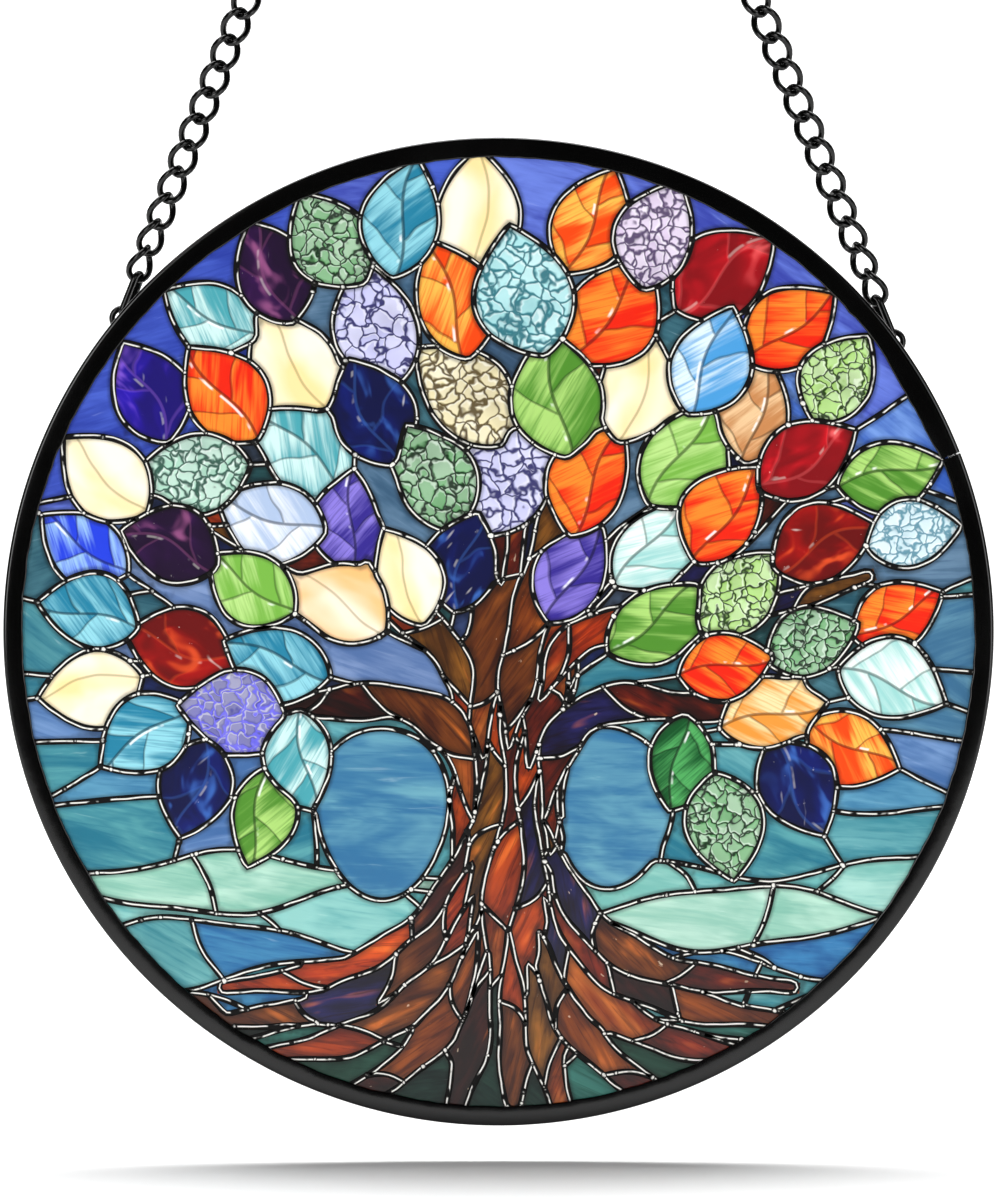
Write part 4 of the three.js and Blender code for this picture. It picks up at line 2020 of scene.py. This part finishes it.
    def _leads(self) -> None:
        """Sweeps the lead lines and sets the solder beads."""
        paths, joints = self.leading.paths()
        edges = []
        total = 0
        for path in paths:
            edges += [(total + step, total + step + 1) for step in range(len(path) - 1)]
            total += len(path)
        values = {
            "Width": self.lead_width,
            "Height": self.lead_height,
            "Step": self.lead_step,
            "Wander": self.wander,
            "Material": LeadFinish("lead_line_ink").material(),
        }
        along = np.vstack(paths)
        self._raise("picture_lead_lines", along, edges, self._sweep_tree(), values)
        lumps = along[self.rng.random(len(along)) < self.lumps]
        values = {
            "Width": self.bead,
            "Height": self.lead_height * self.bead_rise,
            "Seed": self.seed,
            "Material": SolderFinish("solder_bead_ink").material(),
        }
        self._raise("picture_solder_beads", np.vstack([joints, lumps]), [], self._bead_tree(), values)

    def _raise(
        self, name: str, points: Array, edges: Sequence, tree: NodeTree, values: dict[str, Any]
    ) -> None:
        """Grows a piece of the leading on top of the film.

        Args:
            name: The piece's name.
            points: Flat places that it grows from.
            edges: Edges between them.
            tree: The tree that it is grown with.
            values: The tree's inputs.
        """
        level = np.full(len(points), self.thickness)
        seed = mesh_object(f"{name}_seed", np.column_stack([points, level]), [], edges)
        piece = grow(seed, name, tree, values)
        piece.data.transform(self.place)
        settle(piece)

    @staticmethod
    def _sweep_tree() -> NodeTree:
        """Makes the tree that sweeps a low ridge along each lead path.

        Returns:
            The tree.
        """
        names = ("Width", "Height", "Step", "Wander")
        board = GrowBoard("lead_sweep", {**dict.fromkeys(names, float), "Material": str})
        even = board.add("ResampleCurve", "LENGTH", Curve=board.line(), Length=board.take("Step"))
        level = board.add("SetCurveNormal", "Z_UP", Curve=even)
        swell = board.noise(board.add("InputPosition"), 0.35, 2.0)
        radius = 1.0 + (swell - 0.5) * 2.0 * board.take("Wander")
        swelled = board.add("SetCurveRadius", Curve=level, Radius=radius)
        ring = board.add("CurvePrimitiveCircle", "RADIUS", Resolution=8, Radius=1.0)
        spot = board.spot()
        marked = board.mark(ring, "across", spot)
        height = spot.out("Y").most(-0.1) * board.take("Height")
        shaped = board.combine(spot * board.take("Width") * 0.5, height)
        section = board.add("SetPosition", Geometry=marked, Position=shaped)
        return board.close(board.sweep(swelled, section))

    @staticmethod
    def _bead_tree() -> NodeTree:
        """Makes the tree that sets a flat bead on each joint.

        Returns:
            The tree.
        """
        board = GrowBoard("bead_setting", {"Width": float, "Height": float, "Seed": int, "Material": str})
        ball = board.add("MeshUVSphere", Segments=8, Rings=5, Radius=1.0)
        marked = board.mark(ball, "lift", board.spot().out("Z"))
        half = board.take("Width") * 0.5
        flat = board.add("Transform", Geometry=marked, Scale=board.combine(half, half, board.take("Height")))
        share = board.vary(0.5, 1.1)
        turn = board.combine(0.0, 0.0, board.vary(0.0, 6.28))
        scale = board.combine(share, share * 0.85, 1.0)
        return board.close(board.scatter(flat, Rotation=turn, Scale=scale))


@dataclass
class Rim:
    """The black channel around the disc.

    Sizes are in millimetres, where nothing else is said.

    Attributes:
        wall: Thickness of its outer wall.
        lip: Thickness of its two lips.
        lip_reach: How far the lips reach in.
        round_off: Radius of its edges.
        joint: Direction of its butt joint, in degrees.
        slot: Width of the slot at the joint.
        wave: How uneven the painted inner edge is.
        blob: Direction of the blob of paint from the joint, in radians, and how far it comes in.
        stations: Number of sections along the sweep.
    """

    wall: float = 0.8
    lip: float = 0.7
    lip_reach: float = 4.0
    round_off: float = 0.65
    joint: float = 21.5
    slot: float = 0.3
    wave: float = 0.55
    blob: Pair = (0.13, 0.8)
    stations: int = 361

    def build(self, finish: Material) -> None:
        """Makes the rim in its finish.

        Args:
            finish: Its black finish.
        """
        low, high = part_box("rim")
        radius = (high[2] - low[2]) / 2 / MM
        section = mesh_object("rim_section", *self._section((high[1] - low[1]) / 2 / MM))
        values = {
            "Radius": radius,
            "Joint": math.radians(self.joint) + self.slot / radius / 2,
            "Sweep": 2 * math.pi - self.slot / radius,
            "Wave": self.wave,
            "Lip": radius - self.lip_reach,
            "Stations": self.stations,
            "Material": finish,
        }
        piece = grow(section, "rim_channel", self._tree(*self.blob), values)
        place = Matrix.Translation((0, (low[1] + high[1]) / 2, (low[2] + high[2]) / 2))
        piece.data.transform(place @ Matrix.Rotation(math.pi / 2, 4, "X") @ Matrix.Scale(MM, 4))
        settle(piece, ["rim"])

    def _section(self, half: float) -> tuple[Array, list, list[tuple[int, int]]]:
        """Draws the channel's section, outside at x = 0 and inwards to negative x.

        Args:
            half: Half the rim's depth, in millimetres.

        Returns:
            Points, no faces, and the edges of the closed outline.
        """
        upper = [
            (0.0, half, self.round_off),
            (-self.lip_reach, half, 0.3),
            (-self.lip_reach, half - self.lip, 0.2),
            (-self.wall, half - self.lip, 0.1),
        ]
        corners = upper + [(x, -y, radius) for x, y, radius in reversed(upper)]
        points = []
        for index, (x, y, radius) in enumerate(corners):
            here = np.array([x, y])
            before = np.array(corners[index - 1][:2]) - here
            after = np.array(corners[(index + 1) % len(corners)][:2]) - here
            before, after = before / np.hypot(*before), after / np.hypot(*after)
            for share in np.linspace(0, 1, 4):
                start, stop = here + before * radius, here + after * radius
                arc = (1 - share) ** 2 * start + 2 * share * (1 - share) * here + share ** 2 * stop
                points.append((arc[0], arc[1], 0.0))
        edges = [(index, (index + 1) % len(points)) for index in range(len(points))]
        return np.array(points), [], edges

    @staticmethod
    def _tree(blob_turn: float, blob_reach: float) -> NodeTree:
        """Makes the tree that sweeps the section round the disc.

        Args:
            blob_turn: Direction of the blob of paint from the joint, in radians.
            blob_reach: How far the blob comes in.

        Returns:
            The tree.
        """
        names = ("Radius", "Joint", "Sweep", "Wave", "Lip")
        sizes = {**dict.fromkeys(names, float), "Stations": int, "Material": str}
        board = GrowBoard("rim_sweep", sizes)
        inputs = {
            "Resolution": board.take("Stations"),
            "Radius": board.take("Radius"),
            "Start Angle": board.take("Joint"),
            "Sweep Angle": board.take("Sweep"),
        }
        arc = board.add("CurveArc", "RADIUS", **inputs)
        swept = board.sweep(board.add("SetCurveNormal", "Z_UP", Curve=arc), board.line())
        spot = board.spot()
        flat = board.combine(spot, spot.out("Y"), 0.0)
        radial = board.vector("LENGTH", {0: flat}, "Value")
        outward = board.vector("NORMALIZE", {0: flat})
        ripple = board.noise(flat, 0.22, 3.0, 0.6)
        inner = 1.0 - radial.over(board.take("Lip") + 0.3, board.take("Lip") + 1.5)
        angle = board.node("ShaderNodeMath", {"operation": "ARCTAN2"}, {0: spot.out("Y"), 1: spot})
        blob = 1.0 - abs(angle - board.take("Joint") - blob_turn).over(0.06, 0.16)
        shift = (ripple - 0.5) * 2.0 * board.take("Wave") * inner - blob * inner * blob_reach
        offset = board.vector("SCALE", {0: outward, "Scale": shift})
        return board.close(board.add("SetPosition", Geometry=swept, Offset=offset))


@dataclass
class Chain:
    """One run of the chain with its eyelet.

    Sizes are in millimetres, where nothing else is said.

    Attributes:
        side: Minus one for left, one for right.
        name: Name of the side.
        wire: Diameter of the chain's wire with its paint.
        width: Width of a link.
        twist: Turn from one end of a link to the other, in degrees.
        rolled: Links over which a run's ends turn back straight.
        named: Number of CAD nodes with one link each.
        eyelet_wire: Diameter of the eyelet's wire.
        eyelet_hole: Width of the eyelet's hole.
        eyelet_radius: Distance of the eyelet from the disc's middle.
        foot_length: Length of the eyelet's foot along the disc's radius.
        foot_width: Width of the foot.
        foot_gap: Gap between the foot and the rim.
        foot_bevel: Size of the foot's chamfers.
        connector_length: Length of the connecting link.
        connector_width: Width of the connecting link.
        connector_turn: How far the connecting link is turned from edge-on, in degrees.
        splay: How far the right connecting link's open end is bent away.
    """

    side: int
    name: str
    wire: float = 1.35
    width: float = 6.2
    twist: float = 90.0
    rolled: int = 5
    named: int = 25
    eyelet_wire: float = 1.25
    eyelet_hole: float = 2.8
    eyelet_radius: float = 99.0
    foot_length: float = 1.7
    foot_width: float = 3.0
    foot_gap: float = 0.1
    foot_bevel: float = 0.35
    connector_length: float = 10.3
    connector_width: float = 4.0
    connector_turn: float = 27.0
    splay: tuple[float, float, float] = (0.5, 0.55, 0.4)

    def build(self, finish: Material) -> None:
        """Makes the links, the connecting link and the eyelet in their finish.

        Args:
            finish: Their black finish.
        """
        first = self._middle(f"chain_link_{self.name}_01")
        last = self._middle(f"chain_link_{self.name}_{self.named:02d}")
        self.up = (first - last).normalized()
        self.pitch = (first - last).length / (self.named - 1)
        self.lean = math.atan2(self.up.x, self.up.z)
        self._links(first, finish)
        self._connector(finish)
        self._eyelet(finish)

    @staticmethod
    def _middle(node: str) -> Vector:
        """Gives the middle of a CAD node."""
        low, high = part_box(node)
        return (Vector(low) + Vector(high)) / 2

    def _roll(self, index: int, count: int) -> float:
        """Gives the turn of a link about the run, in radians."""
        from_end = min(index, count - 1 - index)
        return -self.side * math.radians(self.twist / 2) * max(0.0, 1 - from_end / self.rolled)

    def _links(self, first: Vector, finish: Material) -> None:
        """Sets all twisted links.

        Args:
            first: Middle of the uppermost one with a node of its own.
            finish: Their finish.
        """
        low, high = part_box(f"upper_chain_{self.name}")
        above = round((high[2] - low[2]) / (self.pitch * self.up.z))
        count = above + self.named
        places = [first + self.up * self.pitch * (above - index) for index in range(count)]
        spots = mesh_object("link_places", np.array([tuple(place) for place in places]), [])
        turns = []
        for index in range(count):
            turned = Matrix.Rotation(self.lean, 3, "Y") @ Matrix.Rotation(self._roll(index, count), 3, "Z")
            turns.append(tuple(turned.to_euler()))
        layer = spots.data.attributes.new("turn", "FLOAT_VECTOR", "POINT")
        layer.data.foreach_set("vector", np.array(turns, np.float32).ravel())
        half = (self.pitch / MM + self.wire) / 2
        loop = twisted_loop(half, (self.width - self.wire) / 2, -self.side * self.twist)
        link = wire("link", loop, self.wire / 2, 8, finish)
        link.data.transform(Matrix.Scale(MM, 4))
        run = grow(spots, f"chain_run_{self.name}", self._tree(), {"Link": link, "Material": finish})
        bpy.data.objects.remove(link)
        nodes = [f"chain_link_{self.name}_{number:02d}" for number in range(1, self.named + 1)]
        settle(run, nodes + [f"upper_chain_{self.name}"])

    @staticmethod
    def _tree() -> NodeTree:
        """Makes the tree that sets a link on each place.

        Returns:
            The tree.
        """
        board = GrowBoard("link_setting", {"Link": Object, "Material": str})
        link = board.node("GeometryNodeObjectInfo", None, {"Object": board.take("Link")}, "Geometry")
        turn = board.node("GeometryNodeInputNamedAttribute", {"data_type": "FLOAT_VECTOR"}, {"Name": "turn"})
        return board.close(board.scatter(link, Rotation=turn))

    def _connector(self, finish: Material) -> None:
        """Makes the long flat link, seen edge-on. The right one has a splayed open end.

        Args:
            finish: Its finish.
        """
        middle = self._middle(f"connecting_link_{self.name}")
        half = (self.connector_length - self.wire) / 2
        half_width = (self.connector_width - self.wire) / 2
        angles = np.linspace(0, 2 * math.pi, 56, endpoint=False) + 0.3
        x = half_width * np.cos(angles)
        z = half_width * np.sin(angles) + np.sign(np.sin(angles)) * (half - half_width)
        path = np.stack([x, np.zeros(len(x)), z], axis=1)
        closed = self.side < 0
        if not closed:
            path = path[:-1]
            fade = np.linspace(1, 0, 6)[:, None]
            path[:6] += fade * np.array(self.splay)
        piece = wire(f"connecting_link_shaped_{self.name}", path, self.wire / 2, 10, finish, closed)
        roll = math.radians(90 + self.connector_turn * self.side)
        place = Matrix.Translation(middle) @ Matrix.Rotation(self.lean, 4, "Y")
        piece.data.transform(place @ Matrix.Rotation(roll, 4, "Z") @ Matrix.Scale(MM, 4))
        settle(piece, [f"connecting_link_{self.name}"])

    def _eyelet(self, finish: Material) -> None:
        """Makes the ring behind the rim and its foot.

        Args:
            finish: Their finish.
        """
        low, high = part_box(f"eyelet_{self.name}")
        rim_low, rim_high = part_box("rim")
        outer = self.eyelet_hole / 2 + self.eyelet_wire
        x = (high[0] if self.side > 0 else low[0]) / MM - self.side * outer
        disc_z = (rim_low[2] + rim_high[2]) / 2 / MM
        z = high[2] / MM - outer
        angle = math.atan2(z - disc_z, x)
        radius = (self.eyelet_hole + self.eyelet_wire) / 2
        path = oval(radius, radius, 40)
        ring = wire(f"eyelet_ring_{self.name}", path, self.eyelet_wire / 2, 12, finish)
        deep = (rim_high[1] / MM + self.foot_gap, -self.foot_gap)
        across = (-outer, self.foot_length - outer)
        block = chamfered_block(across, deep, self.foot_width / 2, self.foot_bevel)
        foot = mesh_object(f"eyelet_foot_{self.name}", *block)
        foot.data.materials.append(finish)
        reach = Vector((math.cos(angle), 0, math.sin(angle))) * self.eyelet_radius
        place = Matrix.Translation((reach + Vector((0, 0, disc_z))) * MM)
        place = place @ Matrix.Rotation(-angle, 4, "Y")
        for piece, nodes, smooth in ((ring, [f"eyelet_{self.name}"], True), (foot, [], False)):
            piece.data.transform(place @ Matrix.Scale(MM, 4))
            settle(piece, nodes, smooth)


def chamfered_block(
    across: Pair, deep: Pair, half: float, bevel: float
) -> tuple[Array, list[list[int]]]:
    """Makes a block with four chamfered edges.

    Args:
        across: Lowest and highest x.
        deep: Lowest and highest y.
        half: Half its size along z.
        bevel: Size of the chamfers.

    Returns:
        Vertices and faces.
    """
    (x0, x1), inner = across, half - bevel
    section = [
        (x0 + bevel, -half), (x1 - bevel, -half), (x1, -inner), (x1, inner),
        (x1 - bevel, half), (x0 + bevel, half), (x0, inner), (x0, -inner),
    ]
    count = len(section)
    points = [(x, y, z) for y in deep for x, z in section]
    faces = [list(range(count)), list(range(2 * count - 1, count - 1, -1))]
    for index in range(count):
        after = (index + 1) % count
        faces.append([after, index, index + count, after + count])
    return np.array(points), faces


def oval(half_width: float, half_height: float, count: int) -> Array:
    """Draws an upright oval round the origin, with the given number of points."""
    angles = np.linspace(0, 2 * math.pi, count, endpoint=False)
    return np.stack([half_width * np.cos(angles), np.zeros(count), half_height * np.sin(angles)], axis=1)


def twisted_loop(half: float, half_width: float, twist: float) -> Array:
    """Draws the middle line of an oval link whose ends are turned against each other.

    Args:
        half: Half its length.
        half_width: Half its width.
        twist: Turn from end to end, in degrees.

    Returns:
        Its points.
    """
    angles = np.linspace(0, 2 * math.pi, 26, endpoint=False)
    x = half_width * np.sign(np.cos(angles)) * abs(np.cos(angles)) ** 0.9
    z = half * np.sin(angles)
    turn = math.radians(twist) / 2 * z / half
    return np.stack([x * np.cos(turn), x * np.sin(turn), z], axis=1)


@dataclass
class TopLink:
    """The link at the top, which a hook goes through.

    Attributes:
        wire: Diameter of its wire, in millimetres.
    """

    wire: float = 1.05

    def build(self, finish: Material) -> None:
        """Makes the link in its finish.

        Args:
            finish: Its black finish.
        """
        low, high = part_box("top_link")
        half_width = (high[0] - low[0]) / 2 / MM - self.wire / 2
        half_height = (high[2] - low[2]) / 2 / MM - self.wire / 2
        path = oval(half_width, half_height, 48)
        piece = wire("top_link_shaped", path, self.wire / 2, 12, finish)
        middle = (Vector(low) + Vector(high)) / 2
        piece.data.transform(Matrix.Translation(middle) @ Matrix.Scale(MM, 4))
        settle(piece, ["top_link"])


@dataclass
class Studio:
    """Floor, lights and camera.

    Sizes are in metres, where nothing else is said.

    Attributes:
        distance: Camera's distance.
        elevation: Camera's height above the level, in degrees.
        frame_height: What the picture's height covers at the disc.
        aim_above: How far above the disc's middle the camera aims.
        floor_gap: Gap between the disc and the floor.
        sensor: Sensor size along the picture's height, in millimetres.
        floor_half: Half the floor's width.
        floor_run: Where its level part starts and ends.
        floor_bend: Radius of its bend behind.
        wall_height: Height of its wall.
        lights: Each light's name, place from the disc's middle, two sides and watts.
    """

    distance: float = 1.8
    elevation: float = 4.0
    frame_height: float = 0.2424
    aim_above: float = 0.00667
    floor_gap: float = 0.0075
    sensor: float = 36.0
    floor_half: float = 6.0
    floor_run: Pair = (-0.6, 6.0)
    floor_bend: float = 0.9
    wall_height: float = 4.0
    lights: tuple = (
        ("top_light", (0.0, 0.24, 1.0), (2.0, 0.46), 27.0),
        ("left_light", (-0.9, -1.5, 0.3), (0.7, 0.9), 11.5),
        ("right_light", (1.0, -1.5, 0.1), (0.7, 0.9), 8.0),
    )

    def build(self) -> None:
        """Sets up the studio."""
        low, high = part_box("rim")
        self.middle = (Vector(low) + Vector(high)) / 2
        self.floor_z = low[2] - self.floor_gap
        self._camera()
        self._floor()
        self._lights()

    def _camera(self) -> None:
        """Places the camera in front, a little above the level."""
        camera = placed("camera", bpy.data.cameras.new("camera"))
        camera.data.sensor_width = self.sensor
        camera.data.lens = self.sensor * self.distance / self.frame_height
        camera.data.clip_end = 50
        aim = self.middle + Vector((0, 0, self.aim_above))
        rise = math.radians(self.elevation)
        away = Vector((0, -math.cos(rise), math.sin(rise)))
        camera.location = aim + away * self.distance
        camera.rotation_euler = (-away).to_track_quat("-Z", "Y").to_euler()
        bpy.context.scene.camera = camera
        bpy.context.scene.view_settings.view_transform = "Standard"

    def _floor(self) -> None:
        """Makes a white floor that curves up far behind."""
        bend = self.floor_bend
        front, back = self.floor_run
        profile = [(front, 0.0), (back, 0.0)]
        for angle in np.linspace(0, math.pi / 2, 13)[1:]:
            profile.append((back + bend * math.sin(angle), bend * (1 - math.cos(angle))))
        profile.append((back + bend, self.wall_height))
        count = len(profile)
        points = [(side * self.floor_half, y, self.floor_z + z) for side in (-1, 1) for y, z in profile]
        faces = [[k, k + count, k + count + 1, k + 1] for k in range(count - 1)]
        floor = mesh_object("studio_floor", np.array(points), faces)
        floor.data.materials.append(WhiteSweep("white_sweep").material())
        floor.data.polygons.foreach_set("use_smooth", [True] * len(floor.data.polygons))

    def _lights(self) -> None:
        """Sets the white surroundings and the soft lights."""
        world = bpy.data.worlds.new("studio_air")
        world.use_nodes = True
        world.node_tree.nodes.clear()
        board = Board(world.node_tree)
        seen = board.node("ShaderNodeLightPath", None, None, "Is Camera Ray")
        strength = 0.16 + seen * 0.9 - seen.out("Is Glossy Ray") * 0.12
        air = board.node("ShaderNodeBackground", None, {"Color": (1.0, 1.0, 1.0, 1.0), "Strength": strength})
        board.node("ShaderNodeOutputWorld", None, {"Surface": air})
        bpy.context.scene.world = world
        for light in self.lights:
            self._softbox(*light)

    def _softbox(self, name: str, offset: Sequence[float], size: Pair, power: float) -> None:
        """Hangs an oblong soft light that points at the disc.

        Args:
            name: Its name.
            offset: Its place from the disc's middle.
            size: Its two sides.
            power: Its power in watts.
        """
        light = bpy.data.lights.new(name, "AREA")
        light.shape = "RECTANGLE"
        light.size, light.size_y = size
        light.energy = power
        holder = placed(name, light)
        holder.location = self.middle + Vector(offset)
        holder.rotation_euler = (-Vector(offset)).to_track_quat("-Z", "Y").to_euler()


def main() -> None:
    """Builds the suncatcher's looks and its studio."""
    logging.basicConfig(level=logging.INFO, format="%(name)s: %(message)s")
    Studio().build()
    chain_finish = BlackEnamel("chain_black_enamel", 900.0, 0.12).material()
    Rim().build(BlackEnamel("rim_black_enamel", 420.0).material())
    Picture().build()
    frame["nodes"]["acrylic_disc"].material_slots[0].material = ClearAcrylic("clear_acrylic").material()
    for side, name in ((-1, "left"), (1, "right")):
        Chain(side, name).build(chain_finish)
    TopLink().build(chain_finish)


if __name__ == "__main__":
    main()
